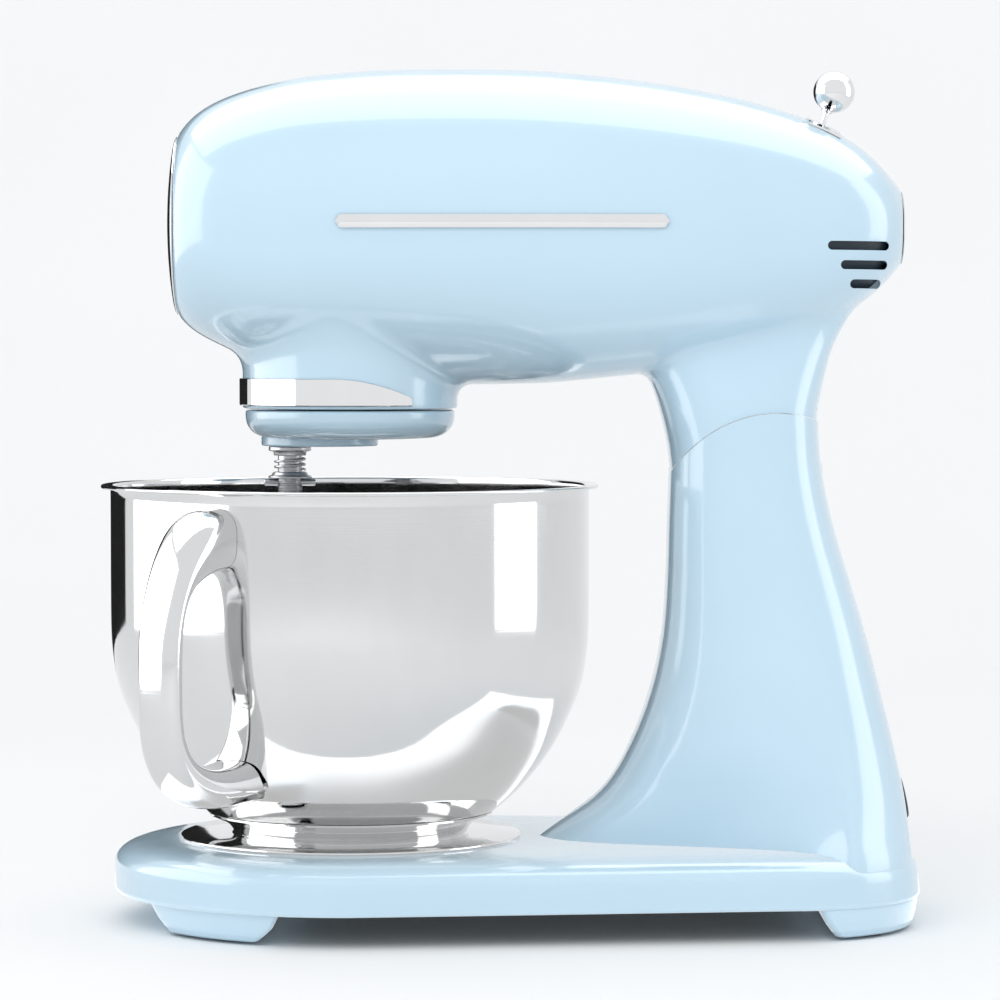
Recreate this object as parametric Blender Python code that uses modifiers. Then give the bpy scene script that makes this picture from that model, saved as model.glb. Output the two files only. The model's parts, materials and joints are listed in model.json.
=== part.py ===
"""A tilt-head stand mixer with its bowl, in metres, +Z up.

Sizes are written in millimetres and scaled by MM where geometry is made.  Design positions are
measured from the bowl axis on the table, the nose towards -X; one empty carries the whole mixer.
"""

import math

import bmesh
import bpy
from mathutils import Vector

MM = 0.001

# Where the bowl axis stands, so that the origin is under the middle of the whole mixer.
BOWL_AXIS_AT = (-70.7, 8.15)

# Tilt hinge
PIVOT_X = 188.5
PIVOT_Z = 173.5
SEAM_RADIUS = 53.0
GAP = 0.3
WALL = 4.0

# Base
BASE_RADIUS = 105.5
BASE_REAR_X = 254.2
BASE_REAR_HALF = 85.0
BASE_CORNER = 60.0
BASE_LEVELS = (  # z, inset
    (14.0, 1.2),
    (15.2, 0.0),
    (27.6, 0.0),
    (31.5, 2.5),
    (34.3, 7.5),
    (36.0, 16.0),
    (36.7, 28.0),
)
DECK_Z = 36.7

# Column: z, front x, rear x, half width, share of the flared foot
COLUMN = (
    (24.0, 74.0, 250.9, 56.0, 1.0),
    (36.0, 84.0, 250.3, 56.0, 1.0),
    (43.5, 93.9, 249.2, 56.5, 0.84),
    (58.7, 113.6, 247.0, 57.0, 0.54),
    (81.2, 126.4, 242.0, 56.0, 0.24),
    (103.9, 134.6, 236.4, 52.8, 0.08),
    (126.8, 139.3, 230.6, 48.8, 0.0),
    (152.0, 141.2, 223.0, 45.8, 0.0),
    (178.0, 141.9, 215.2, 43.7, 0.0),
    (205.0, 143.0, 209.9, 42.2, 0.0),
    (236.0, 143.0, 208.5, 41.6, 0.0),
)
# Flared foot: share of the way from the front to the rear, half width
FOOT_FLARE = (
    (0.0, 0.0),
    (0.03, 12.0),
    (0.07, 20.5),
    (0.13, 27.0),
    (0.2, 31.5),
    (0.3, 37.0),
    (0.45, 44.0),
    (0.6, 53.5),
    (0.7, 62.5),
    (0.77, 71.0),
    (0.83, 77.5),
    (1.0, 96.0),
)
# Inside of the column: z, front x, rear x, half width
COLUMN_INSIDE = (
    (24.0, 118.0, 243.0, 30.0),
    (43.5, 119.0, 242.0, 32.0),
    (58.7, 124.0, 240.5, 36.0),
    (81.2, 133.0, 235.8, 42.0),
    (103.9, 140.5, 230.5, 44.5),
    (126.8, 145.0, 224.8, 43.2),
    (152.0, 146.9, 217.2, 40.3),
    (178.0, 147.5, 209.6, 38.2),
    (205.0, 148.6, 204.3, 36.7),
    (236.0, 148.6, 202.9, 36.1),
)
# Neck: z, front x, rear x, half width
NECK = (
    (199.5, 143.1, 208.6, 42.3),
    (216.0, 141.3, 208.6, 41.4),
    (231.6, 137.2, 209.7, 39.2),
    (243.3, 132.6, 211.5, 36.0),
    (253.0, 126.0, 214.0, 32.5),
    (264.0, 121.0, 217.5, 30.0),
    (284.0, 122.0, 214.0, 28.0),
)

# Head: x, top z, bottom z, half width
HEAD = (
    (-76.0, 349.8, 269.9, 40.0),
    (-73.5, 354.2, 266.0, 44.4),
    (-68.8, 359.0, 262.4, 49.0),
    (-58.0, 365.4, 256.6, 54.5),
    (-47.5, 369.3, 251.8, 58.0),
    (-26.5, 375.0, 245.0, 62.0),
    (0.0, 378.0, 241.4, 64.8),
    (37.0, 379.5, 239.0, 66.0),
    (83.6, 378.6, 239.2, 66.0),
    (109.5, 376.4, 240.9, 65.3),
    (148.0, 371.4, 246.2, 62.4),
    (173.6, 366.6, 252.4, 59.2),
    (197.0, 359.5, 259.8, 54.6),
    (211.0, 354.0, 265.4, 50.8),
    (221.0, 349.0, 269.8, 47.2),
    (231.6, 341.0, 276.5, 41.5),
    (240.6, 332.5, 285.3, 32.5),
    (245.5, 325.7, 292.0, 17.5),
)
ROUNDNESS = 2.15
NOSE_X = -76.0
NOSE_Z = 309.8
REAR_X = 245.5
REAR_Z = 308.8

# Boss under the head, and what turns in it
BOSS_RADIUS = 48.0
BOSS_BOTTOM = 228.4
TOOL_OFFSET = 27.0
LAY_X = 36.0
MOTOR_X = 68.5
RING_TEETH = 46
TOOL_TEETH = 10
MAIN_TEETH = 36
LAY_PINION_TEETH = 12
LAY_TEETH = 40
MOTOR_TEETH = 12
COARSE_MODULE = 1.5
FINE_MODULE = 1.25

# Speed lever
LEVER_LEAN = math.radians(19.8)
LEVER_PIVOT = (198.7, 0.0, 321.4)
LEVER_REACH = 50.9
KNOB_RADIUS = 9.3

# Bowl
BOWL_OUTSIDE = (  # radius, z, from the rim down
    (106.9, 193.2),
    (106.8, 132.0),
    (105.9, 118.7),
    (103.1, 103.7),
    (97.4, 90.0),
    (91.6, 78.6),
    (82.5, 66.0),
    (74.5, 57.0),
    (66.3, 50.2),
    (64.5, 48.7),
)
BOWL_WALL = 1.5
RIM_RADIUS = 111.3
RIM_TOP = 194.5
HANDLE_TURN = math.radians(238.0)
HANDLE = (  # outer radius and z, inner radius and z, width
    (100.0, 188.0, 100.0, 160.5, 28.0),
    (113.0, 187.2, 113.0, 159.5, 27.5),
    (124.0, 181.0, 121.5, 157.0, 25.0),
    (133.5, 169.0, 128.5, 153.6, 23.0),
    (141.0, 152.0, 134.5, 147.0, 21.5),
    (145.4, 135.0, 137.2, 136.0, 20.8),
    (146.3, 115.0, 137.7, 115.0, 20.5),
    (145.9, 97.0, 137.2, 101.0, 20.5),
    (142.6, 81.0, 134.5, 90.0, 20.8),
    (134.0, 68.5, 127.0, 82.0, 21.5),
    (121.0, 61.0, 115.0, 77.5, 22.5),
    (105.0, 58.5, 102.0, 77.0, 23.5),
    (72.0, 59.0, 82.0, 78.5, 24.5),
)

# Colour, metallic and roughness of each material
MATERIALS = {
    "pastel_enamel": ((0.56, 0.74, 0.87, 1), 0.0, 0.22),
    "polished_steel": ((0.75, 0.75, 0.75, 1), 1.0, 0.12),
    "chrome_trim": ((0.8, 0.8, 0.8, 1), 1.0, 0.06),
    "turned_steel": ((0.5, 0.5, 0.52, 1), 1.0, 0.3),
    "gear_steel": ((0.42, 0.42, 0.44, 1), 1.0, 0.35),
    "bronze": ((0.55, 0.36, 0.16, 1), 1.0, 0.35),
    "cast_aluminium": ((0.6, 0.61, 0.62, 1), 1.0, 0.5),
    "dark_rubber": ((0.03, 0.03, 0.03, 1), 0.0, 0.8),
    "dark_plastic": ((0.02, 0.03, 0.05, 1), 0.0, 0.5),
    "board_green": ((0.02, 0.16, 0.07, 1), 0.0, 0.5),
    "copper_winding": ((0.5, 0.2, 0.08, 1), 1.0, 0.4),
}


# ---------------------------------------------------------------- scene and helpers

for old in list(bpy.data.objects):
    bpy.data.objects.remove(old, do_unlink=True)

mixer = bpy.data.collections.new("stand_mixer")
bpy.context.scene.collection.children.link(mixer)
cutters = bpy.data.collections.new("cutters")
bpy.context.scene.collection.children.link(cutters)


def body(name, parent=None, at=(0.0, 0.0, 0.0)):
    """An empty on the joint axis of one moving group; at is its design position."""
    empty = bpy.data.objects.new(name, None)
    empty.empty_display_size = 0.02
    mixer.objects.link(empty)
    empty["design"] = at
    if parent is None:
        empty.location = (BOWL_AXIS_AT[0] * MM, BOWL_AXIS_AT[1] * MM, 0.0)
    else:
        empty.parent = parent
        empty.location = (Vector(at) - Vector(parent["design"])) * MM
    return empty


def material(name):
    found = bpy.data.materials.get(name)
    if found:
        return found
    made = bpy.data.materials.new(name)
    made.use_nodes = True
    shader = made.node_tree.nodes["Principled BSDF"]
    colour, metallic, roughness = MATERIALS[name]
    shader.inputs["Base Color"].default_value = colour
    shader.inputs["Metallic"].default_value = metallic
    shader.inputs["Roughness"].default_value = roughness
    made.diffuse_color = colour
    return made


def add(obj, parent, finish, at=(0.0, 0.0, 0.0), turn=(0.0, 0.0, 0.0)):
    """Makes obj a piece: at is a design position, turn its rotation about X, Y and Z."""
    mixer.objects.link(obj)
    obj.parent = parent
    obj.location = (Vector(at) - Vector(parent["design"])) * MM
    obj.rotation_euler = turn
    piece_material = material(finish).copy()
    piece_material.name = obj.name + "_" + finish
    obj.data.materials.append(piece_material)
    return obj


def mesh_object(name, points, faces):
    mesh = bpy.data.meshes.new(name)
    mesh.from_pydata([Vector(p) * MM for p in points], [], faces)
    shape = bmesh.new()
    shape.from_mesh(mesh)
    bmesh.ops.recalc_face_normals(shape, faces=shape.faces)
    shape.to_mesh(mesh)
    shape.free()
    return bpy.data.objects.new(name, mesh)


def combine(target, other, operation, root, at=(0.0, 0.0, 0.0), turn=(0.0, 0.0, 0.0)):
    cutters.objects.link(other)
    other.parent = root
    other.location = (Vector(at) - Vector(root["design"])) * MM
    other.rotation_euler = turn
    other.hide_render = True
    other.display_type = "WIRE"
    step = target.modifiers.new(other.name, "BOOLEAN")
    step.object = other
    step.operation = operation
    step.solver = "EXACT"


def cut(target, cutter, root, at=(0.0, 0.0, 0.0), turn=(0.0, 0.0, 0.0)):
    combine(target, cutter, "DIFFERENCE", root, at, turn)


def join(target, extra, root, at=(0.0, 0.0, 0.0), turn=(0.0, 0.0, 0.0)):
    combine(target, extra, "UNION", root, at, turn)


def lathe(name, profile, steps=48, closed=False):
    """Turned about Z; the profile of (radius, z) runs down the outside."""
    mesh = bpy.data.meshes.new(name)
    points = [(r * MM, 0.0, z * MM) for r, z in profile]
    edges = [(i, i + 1) for i in range(len(points) - 1)]
    if closed:
        edges.append((len(points) - 1, 0))
    mesh.from_pydata(points, edges, [])
    obj = bpy.data.objects.new(name, mesh)
    screw = obj.modifiers.new("turn", "SCREW")
    screw.axis = "Z"
    screw.angle = math.tau
    screw.steps = steps
    screw.render_steps = steps
    screw.use_merge_vertices = True
    screw.merge_threshold = 0.00001
    return obj


def cylinder(name, radius, low, high, steps=32, chamfer=0.0):
    if chamfer:
        profile = (
            (0, high),
            (radius - chamfer, high),
            (radius, high - chamfer),
            (radius, low + chamfer),
            (radius - chamfer, low),
            (0, low),
        )
        return lathe(name, profile, steps)
    return lathe(name, ((0, high), (radius, high), (radius, low), (0, low)), steps)


def ring(name, inner, outer, low, high, steps=32):
    profile = ((outer, high), (outer, low), (inner, low), (inner, high))
    return lathe(name, profile, steps, closed=True)


def loft(name, rings):
    """Skin over closed rings of equal count, with a flat cap at both ends."""
    count = len(rings[0])
    points = [p for loop in rings for p in loop]
    faces = []
    for level in range(len(rings) - 1):
        for i in range(count):
            j = (i + 1) % count
            low = level * count
            faces.append((low + i, low + j, low + count + j, low + count + i))
    faces.append(tuple(range(count)))
    faces.append(tuple(range(len(points) - count, len(points))))
    return mesh_object(name, points, faces)


def prism(name, outline, low, high, axis="Z"):
    """A flat outline pushed along Z, or an XZ outline pushed along Y."""
    if axis == "Z":
        rings = [[(x, y, level) for x, y in outline] for level in (low, high)]
    else:
        rings = [[(x, level, z) for x, z in outline] for level in (low, high)]
    return loft(name, rings)


def box(name, low, high):
    outline = ((low[0], low[1]), (high[0], low[1]), (high[0], high[1]), (low[0], high[1]))
    return prism(name, outline, low[2], high[2])


def arc(centre, radius, start, stop, count):
    """Points on an arc, angles in degrees."""
    points = []
    for i in range(count):
        angle = math.radians(start + (stop - start) * i / (count - 1))
        points.append((centre[0] + radius * math.cos(angle), centre[1] + radius * math.sin(angle)))
    return points


def signed_power(value, power):
    return math.copysign(abs(value) ** power, value)


def rounded(half_u, half_v, power, count):
    """A superellipse of (u, v) points."""
    points = []
    for i in range(count):
        angle = math.tau * (i + 0.5) / count
        u = half_u * signed_power(math.cos(angle), 2 / power)
        v = half_v * signed_power(math.sin(angle), 2 / power)
        points.append((u, v))
    return points


def between(rows, key):
    """Linear interpolation of rows by their first number."""
    if key <= rows[0][0]:
        return rows[0][1:]
    for low, high in zip(rows, rows[1:]):
        if key <= high[0]:
            share = (key - low[0]) / (high[0] - low[0])
            return tuple(a + (b - a) * share for a, b in zip(low[1:], high[1:]))
    return rows[-1][1:]


def head_ring(x, count, inset=0.0, look=None):
    top, bottom, half = between(HEAD, x if look is None else look)
    middle = (top + bottom) / 2
    height = (top - bottom) / 2 - inset
    return [(x, u, middle + v) for u, v in rounded(half - inset, height, ROUNDNESS, count)]


def head_side(x, z, offset=0.0):
    """Half width of the head at one height."""
    top, bottom, half = between(HEAD, x)
    rise = min(abs(z - (top + bottom) / 2) / ((top - bottom) / 2 + offset), 1.0)
    return (half + offset) * (1 - rise**ROUNDNESS) ** (1 / ROUNDNESS)


def head_top(x, y, offset=0.0):
    """Height of the head's upper skin at one place."""
    top, bottom, half = between(HEAD, x)
    out = min(abs(y) / (half + offset), 1.0)
    height = (top - bottom) / 2 + offset
    return (top + bottom) / 2 + height * (1 - out**ROUNDNESS) ** (1 / ROUNDNESS)


def skin(name, outer, inner):
    """A closed sheet between two grids of points of the same size."""
    rows = len(outer)
    columns = len(outer[0])
    points = [p for row in outer for p in row] + [p for row in inner for p in row]
    back = rows * columns
    faces = []
    for i in range(rows - 1):
        for j in range(columns - 1):
            a = i * columns + j
            quad = (a, a + 1, a + columns + 1, a + columns)
            faces.append(quad)
            faces.append(tuple(back + k for k in reversed(quad)))
    rim = [j for j in range(columns)]
    rim += [i * columns + columns - 1 for i in range(1, rows)]
    rim += [(rows - 1) * columns + j for j in range(columns - 2, -1, -1)]
    rim += [i * columns for i in range(rows - 2, 0, -1)]
    for a, b in zip(rim, rim[1:] + rim[:1]):
        faces.append((a, back + a, back + b, b))
    return mesh_object(name, points, faces)


def upright_rings(rows, count, power, inset=0.0):
    rings = []
    for z, front, rear, half in rows:
        plan = rounded((rear - front) / 2 - inset, half - inset, power, count)
        rings.append([((front + rear) / 2 + u, v, z) for u, v in plan])
    return rings


def involute(angle):
    return math.tan(angle) - angle


def gear_outline(teeth, module, above, below, play, middle=(), phase=0.0):
    """Spur gear outline; above and below are in modules, play thins each tooth in mm, phase in teeth."""
    pitch = module * teeth / 2
    base = pitch * math.cos(math.radians(20))
    root = pitch - below * module
    tip = pitch + above * module
    half = math.pi / (2 * teeth) - play / (2 * pitch)
    radii = [root] + [root + (tip - root) * share for share in middle] + [tip]
    points = []
    for tooth in range(teeth):
        centre = math.tau * (tooth + phase) / teeth
        flank = []
        for radius in radii:
            lean = involute(math.acos(min(base / max(radius, base), 1.0)))
            flank.append((radius, half + involute(math.radians(20)) - lean))
        for radius, spread in flank:
            points.append((radius * math.cos(centre - spread), radius * math.sin(centre - spread)))
        for radius, spread in reversed(flank):
            points.append((radius * math.cos(centre + spread), radius * math.sin(centre + spread)))
    return points


def wheel(name, outline, low, high, bore, parent):
    """A gear with a round bore, made about its own axis."""
    gear = prism(name, outline, low, high)
    axis = parent["design"]
    cut(gear, cylinder(name + "_bore", bore, low - 5, high + 5, 18), parent, (axis[0], axis[1], 0))
    return gear


# ---------------------------------------------------------------- bodies

root = body("mixer_root")
pivot = (PIVOT_X, 0.0, PIVOT_Z)
head = body("head_body", root, pivot)
lever = body("speed_lever_body", head, LEVER_PIVOT)
nose = body("nose_cap_body", head, (NOSE_X, 0.0, NOSE_Z))
rotor = body("rotor_body", head, (MOTOR_X, 0.0, 268.0))
layshaft = body("layshaft_body", head, (LAY_X, 0.0, 262.0))
planetary = body("planetary_body", head, (0.0, 0.0, 228.0))
spindle = body("spindle_body", planetary, (-TOOL_OFFSET, 0.0, 228.0))
collar = body("collar_body", spindle, (-TOOL_OFFSET, 0.0, 198.5))
button = body("release_button_body", root, (210.4, 0.0, 199.0))
bowl = body("bowl_body", root, (0.0, 0.0, 37.0))


# ---------------------------------------------------------------- stand

def base_outline(inset, z=0.0):
    radius = BASE_RADIUS - inset
    corner = BASE_CORNER - min(inset, BASE_CORNER - 4)
    rear = BASE_REAR_X - 0.1 * z - inset - corner
    side = BASE_REAR_HALF - inset - corner
    points = arc((0, 0), radius, 88, 272, 17)
    points += arc((rear, -side), corner, -88, 0, 7)
    points += arc((rear, side), corner, 0, 88, 7)
    return points


def base_half(x, z):
    """Half width of the base near its rear."""
    corner = BASE_CORNER
    centre = BASE_REAR_X - 0.1 * z - corner
    if x <= centre:
        return BASE_REAR_HALF
    return BASE_REAR_HALF - corner + math.sqrt(max(corner**2 - (x - centre) ** 2, 0.0))


def column_rings(count):
    """Column plans: rounded higher up, and at the foot flared out to the rear corners of the base."""
    rings = []
    for z, front, rear, half, share in COLUMN:
        loop = []
        for u, v in rounded(1.0, 1.0, 2.8, count):
            along = (u + 1) / 2
            x = front + along * (rear - front)
            foot = min(between(FOOT_FLARE, along)[0], base_half(x + 0.5, z) - 0.5)
            close = min(1.0, (1 - abs(u)) * 40)
            width = (1 - share) * half * abs(v) + share * foot * close
            loop.append((x, math.copysign(max(width, 0.4), v), z))
        rings.append(loop)
    return rings


def cap_outline(radius):
    """Everything above the round top of the column, seen from the side."""
    arch = arc((PIVOT_X, PIVOT_Z), radius, 168, 12, 23)
    return arch + [(PIVOT_X + 90, arch[-1][1]), (PIVOT_X + 90, 300), (PIVOT_X - 90, 300),
                   (PIVOT_X - 90, arch[0][1])]


def block_ring(radius, front, rear, z):
    """The front foot block: two straight faces between pieces of one circle."""
    near = math.degrees(math.acos(rear / radius))
    far = math.degrees(math.acos(front / radius))
    sides = arc((0, 0), radius, near, far, 4) + arc((0, 0), radius, 360 - far, 360 - near, 4)
    return [(x, y, z) for x, y in sides]


def rear_block_ring(inset, front, z):
    corner = BASE_CORNER - 1.2
    rear = BASE_REAR_X - 1.9 - inset
    side = BASE_REAR_HALF - 1.2 - inset
    reach = rear - corner
    turn = math.degrees(math.acos(min((front - reach) / corner, 1.0)))
    plan = arc((reach, -(side - corner)), corner, -turn, 0, 6)
    plan += arc((reach, side - corner), corner, 0, turn, 6)
    return [(x, y, z) for x, y in plan]


stand = loft("stand_casting", [[(x, y, z) for x, y in base_outline(inset, z)] for z, inset in BASE_LEVELS])
add(stand, root, "pastel_enamel")
join(stand, loft("column_solid", column_rings(32)), root)
cut(stand, prism("column_cap", cap_outline(SEAM_RADIUS), -70, 70, "Y"), root)

hollow = loft("base_hollow", [[(x, y, z) for x, y in base_outline(WALL + 0.6, z)] for z in (5.0, 27.0)]
              + [[(x, y, 32.3) for x, y in base_outline(12.0, 32.3)]])
cut(stand, hollow, root)
column_hollow = loft("column_hollow", upright_rings(COLUMN_INSIDE, 20, 2.8))
cut(column_hollow, prism("hollow_cap", cap_outline(SEAM_RADIUS - WALL - 1), -70, 70, "Y"), root)
cut(stand, column_hollow, root)

front_block = loft("front_block", [
    block_ring(98.0, -77.0, -36.0, 1.5),
    block_ring(101.0, -82.0, -30.0, 8.0),
    block_ring(102.5, -86.0, -27.0, 16.0),
    block_ring(97.0, -85.0, -27.8, 33.1),
])
join(stand, front_block, root)
rear_block = loft("rear_block", [
    rear_block_ring(2.5, 211.0, 1.5),
    rear_block_ring(0.5, 206.0, 8.0),
    rear_block_ring(0.0, 204.0, 16.0),
    rear_block_ring(5.3, 204.6, 33.1),
])
join(stand, rear_block, root)

FEET = {"front_left": (-56, 60), "front_right": (-56, -60), "rear_left": (225, 54), "rear_right": (225, -54)}
for place, (x, y) in FEET.items():
    cut(stand, cylinder("recess_" + place, 9.5, -2, 6.4, 14), root, (x, y, 0))
    foot = cylinder("foot_" + place, 9.0, 0, 6.0, 14, 0.8)
    add(foot, root, "dark_rubber", (x, y, 0))

# Cheeks that carry the hinge bushes inside the column, and the slot that the tongue passes through.
for side, sign in (("left", 1), ("right", -1)):
    quarter = (math.radians(-90 * sign), 0, 0)
    join(stand, cylinder("cheek_" + side, 13.0, 26.0, 40.5, 20), root, pivot, quarter)
    cut(stand, cylinder("cheek_bore_" + side, 8.5, 20.0, 36.0, 20), root, pivot, quarter)
    bush = ring("hinge_bush_" + side, 5.4, 8.1, 26.5, 35.6, 20)
    add(bush, root, "bronze", pivot, quarter)
slot = arc((PIVOT_X, PIVOT_Z), 60, 139.4, 70.6, 8) + arc((PIVOT_X, PIVOT_Z), 42, 70.6, 139.4, 8)
cut(stand, prism("tongue_slot", slot, -13.5, 13.5, "Y"), root)

# Release button in the back of the column
quarter_y = (0, math.radians(90), 0)
cut(stand, cylinder("button_bore", 6.9, -12, 6, 24), root, button["design"], quarter_y)
cap = lathe("release_button", (
    (0, 0.9), (4.2, 0.8), (6.0, 0.2), (6.4, -0.6), (6.4, -5.8), (3.0, -6.0), (3.0, -6.8), (0, -6.8)), 24)
add(cap, button, "chrome_trim", button["design"], quarter_y)

# Inlet for the cord at the foot of the column
gland_at = (248.6, 0.0, 54.0)
gland_turn = (0, math.radians(78.5), 0)
cut(stand, cylinder("gland_bore", 7.1, -14, 8, 24), root, gland_at, gland_turn)
cut(stand, cylinder("gland_seat", 10.0, -2.6, 8, 24), root, gland_at, gland_turn)
gland = lathe("cord_gland", (
    (5.0, 0.1), (8.8, 0.1), (9.6, -0.6), (9.6, -2.2), (6.7, -2.3), (6.6, -8.0), (4.2, -8.0), (4.2, -0.8)),
    24, closed=True)
add(gland, root, "dark_rubber", gland_at, gland_turn)

cover = prism("base_cover", (
    (-25.5, -94.5), (5, -98.5), (188, -80.0), (202.5, -76.5), (202.5, 76.5), (188, 80.0), (5, 98.5),
    (-25.5, 94.5)), 15.4, 17.0)
add(cover, root, "dark_plastic")
for i, (x, y) in enumerate(((20, 70), (20, -70), (185, 60), (185, -60))):
    cut(cover, cylinder("cover_hole_%d" % i, 3.0, 10, 20, 16), root, (x, y, 0))

# Bowl lock plate let into the deck
cut(stand, cylinder("plate_recess", 46.6, 33.6, 40, 28), root)
plate = lathe("bowl_lock_plate", (
    (0, 36.0), (14, 36.0), (16, 38.6), (30, 38.6), (32, 36.4), (46, 36.4), (46, 33.9), (0, 33.9)), 28)
add(plate, root, "turned_steel")
for i in range(3):
    turn = math.radians(120 * i + 30)
    lug = loft("lock_lug_%d" % i, [
        [(x, y, 35.0) for x, y in arc((0, 0), 44, -18, 18, 4) + arc((0, 0), 37, 18, -18, 4)],
        [(x, y, 41.0) for x, y in arc((0, 0), 44, -18, 18, 4) + arc((0, 0), 38, 18, -18, 4)],
    ])
    join(plate, lug, root, (0, 0, 0), (0, 0, turn))
    turn += math.radians(60)
    x = 38 * math.cos(turn)
    y = 38 * math.sin(turn)
    cut(plate, cylinder("screw_seat_%d" % i, 3.5, 34.9, 40, 10), root, (x, y, 0))
    screw = lathe("lock_screw_%d" % i, ((0, 37.2), (1.8, 37.0), (3.0, 36.1), (3.0, 35.2), (0, 35.2)), 10)
    cut(screw, box("screw_driver_slot_%d" % i, (-4, -0.45, 36.3), (4, 0.45, 39)), root, (x, y, 0), (0, 0, turn))
    add(screw, root, "turned_steel", (x, y, 0))


# ---------------------------------------------------------------- head

housing = loft("head_housing", [head_ring(row[0], 22) for row in HEAD])
add(housing, head, "pastel_enamel")
join(housing, loft("neck_solid", upright_rings(NECK, 20, 2.8)), head)
cut(housing, cylinder("seam_cut", SEAM_RADIUS + GAP, -80, 80, 60), head, pivot, (math.radians(90), 0, 0))
join(housing, cylinder("boss_solid", BOSS_RADIUS, BOSS_BOTTOM, 262, 36), head)

INNER_STATIONS = ((-64, -68), (-42, -47), (0, 0), (50, 50), (105, 109), (160, 163), (200, 204),
                  (222, 226), (234, 237), (238.5, 240.5))
cut(housing, loft("head_hollow", [head_ring(x, 22, WALL, look) for x, look in INNER_STATIONS]), head)
cut(housing, loft("neck_hollow", upright_rings(NECK[3:], 16, 2.8, 6.5)), head)
cut(housing, cylinder("boss_hollow", 45.0, 220, 258, 36), head)
cut(housing, cylinder("hub_bore", 30.4, -20, 20, 28), head, (NOSE_X, 0, NOSE_Z), quarter_y)

# Tongue with the hinge eye: let into the neck, it reaches down through the top of the column
pocket = arc((PIVOT_X, PIVOT_Z), 63.3, 115.6, 134.4, 5) + arc((PIVOT_X, PIVOT_Z), 48, 136.9, 112.4, 5)
cut(housing, prism("tongue_pocket", pocket, -12.3, 12.3, "Y"), head)
TONGUE = arc((PIVOT_X, PIVOT_Z), 63, 116, 134, 5) + arc((PIVOT_X, PIVOT_Z), 13, 150, 450, 13)
tongue = prism("hinge_tongue", TONGUE, -12, 12, "Y")
cut(tongue, cylinder("eye_bore", 5.3, -20, 20, 20), head, pivot, (math.radians(90), 0, 0))
add(tongue, head, "cast_aluminium")
pin = cylinder("hinge_pin", 5.0, -35.2, 35.2, 20, 0.6)
add(pin, head, "turned_steel", pivot, (math.radians(90), 0, 0))

# Cooling slots near the rear, with a dark grille behind each set
VENTS = ((209.4, 237.6, 299.9), (215.5, 237.4, 291.6), (220.3, 235.4, 283.4))
for i, (front, rear, z) in enumerate(VENTS):
    outline = arc((front + 1.95, z), 1.95, 90, 270, 5) + arc((rear - 1.95, z), 1.95, -90, 90, 5)
    cut(housing, prism("vent_%d" % i, outline, -90, 90, "Y"), head)
for side, sign in (("left", 1), ("right", -1)):
    columns = [207.5 + 4.6 * i for i in range(7)]
    outer = []
    inner = []
    for x in columns:
        low = max(280.0, between(HEAD, x + 4.5)[1] + 10)
        levels = [low + (303 - low) * i / 4 for i in range(5)]
        outer.append([(x, sign * head_side(x + 4.5, z, -6.6), z) for z in levels])
        inner.append([(x, sign * (head_side(x + 4.5, z, -6.6) - 1.4), z) for z in levels])
    add(skin("vent_grille_" + side, outer, inner), head, "dark_plastic")
    columns = [-4 + 18.0 * i for i in range(9)]
    outer = [[(x, sign * (head_side(x, z) + 2.1), z) for z in (307.4, 310.0, 312.6)] for x in columns]
    inner = [[(x, sign * (head_side(x, z) + 0.6), z) for z in (307.0, 310.0, 313.0)] for x in columns]
    add(skin("side_trim_" + side, outer, inner), head, "chrome_trim")

# Chrome band round the front of the boss
band = arc((0, 0), BOSS_RADIUS + 1.5, 56, 304, 31) + arc((0, 0), BOSS_RADIUS + GAP + 0.1, 304, 56, 31)
add(prism("boss_band", band, 229.6, 241.8), head, "chrome_trim")

# Nose: the drive socket behind the round cap
socket = lathe("drive_socket", (
    (22, 0.4), (29.9, 0.4), (29.9, -22), (16, -24), (16, -30), (8, -30), (8, -22), (14, -20), (20, -3)),
    24, closed=True)
cut(socket, box("socket_square", (-7.2, -7.2, -34), (7.2, 7.2, -18)), head, (NOSE_X + 0.9, 0, NOSE_Z),
    (0, math.radians(-90), 0))
add(socket, head, "cast_aluminium", (NOSE_X + 0.9, 0, NOSE_Z), (0, math.radians(-90), 0))
cap = lathe("nose_cap", (
    (0, 4.9), (16, 4.3), (30, 2.9), (38, 1.5), (39.7, 0.8), (39.7, 0.3), (0, 0.3)), 36)
add(cap, nose, "chrome_trim", nose["design"], (0, math.radians(-90), 0))
disc = lathe("rear_trim", ((0, 2.2), (9, 1.8), (14.5, 1.1), (16.4, 0.6), (16.4, 0.3), (0, 0.3)), 24)
add(disc, head, "chrome_trim", (REAR_X, 0, REAR_Z), quarter_y)

# Speed lever, its pin, and the slotted plate on top of the head
lean = (0, LEVER_LEAN, 0)
cut(housing, box("lever_slot", (-2.6, -18, 22), (2.6, 18, 48)), head, LEVER_PIVOT, lean)
rows = [203.5 + 2.8 * i for i in range(6)]
lines = [-22 + 4.4 * i for i in range(11)]
top_skin = [[(x, y, head_top(x, y) + 1.3) for y in lines] for x in rows]
under_skin = [[(x, y, head_top(x, y) + 0.35) for y in lines] for x in rows]
speed_plate = skin("speed_plate", top_skin, under_skin)
cut(speed_plate, box("plate_slot", (-2.2, -17.5, 22), (2.2, 17.5, 48)), head, LEVER_PIVOT, lean)
add(speed_plate, head, "chrome_trim")
lever_pin = cylinder("lever_pin", 2.0, -13, 13, 14, 0.4)
add(lever_pin, head, "turned_steel", LEVER_PIVOT, (0, math.radians(90) + LEVER_LEAN, 0))
arm = lathe("lever_arm", (
    (0, LEVER_REACH - KNOB_RADIUS + 4.0), (1.3, LEVER_REACH - KNOB_RADIUS + 4.0), (1.3, 5.0), (0, 5.0)), 16)
hub = cylinder("lever_hub", 6.0, -6, 6, 20)
join(arm, hub, lever, LEVER_PIVOT, (0, math.radians(90) + LEVER_LEAN, 0))
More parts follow.
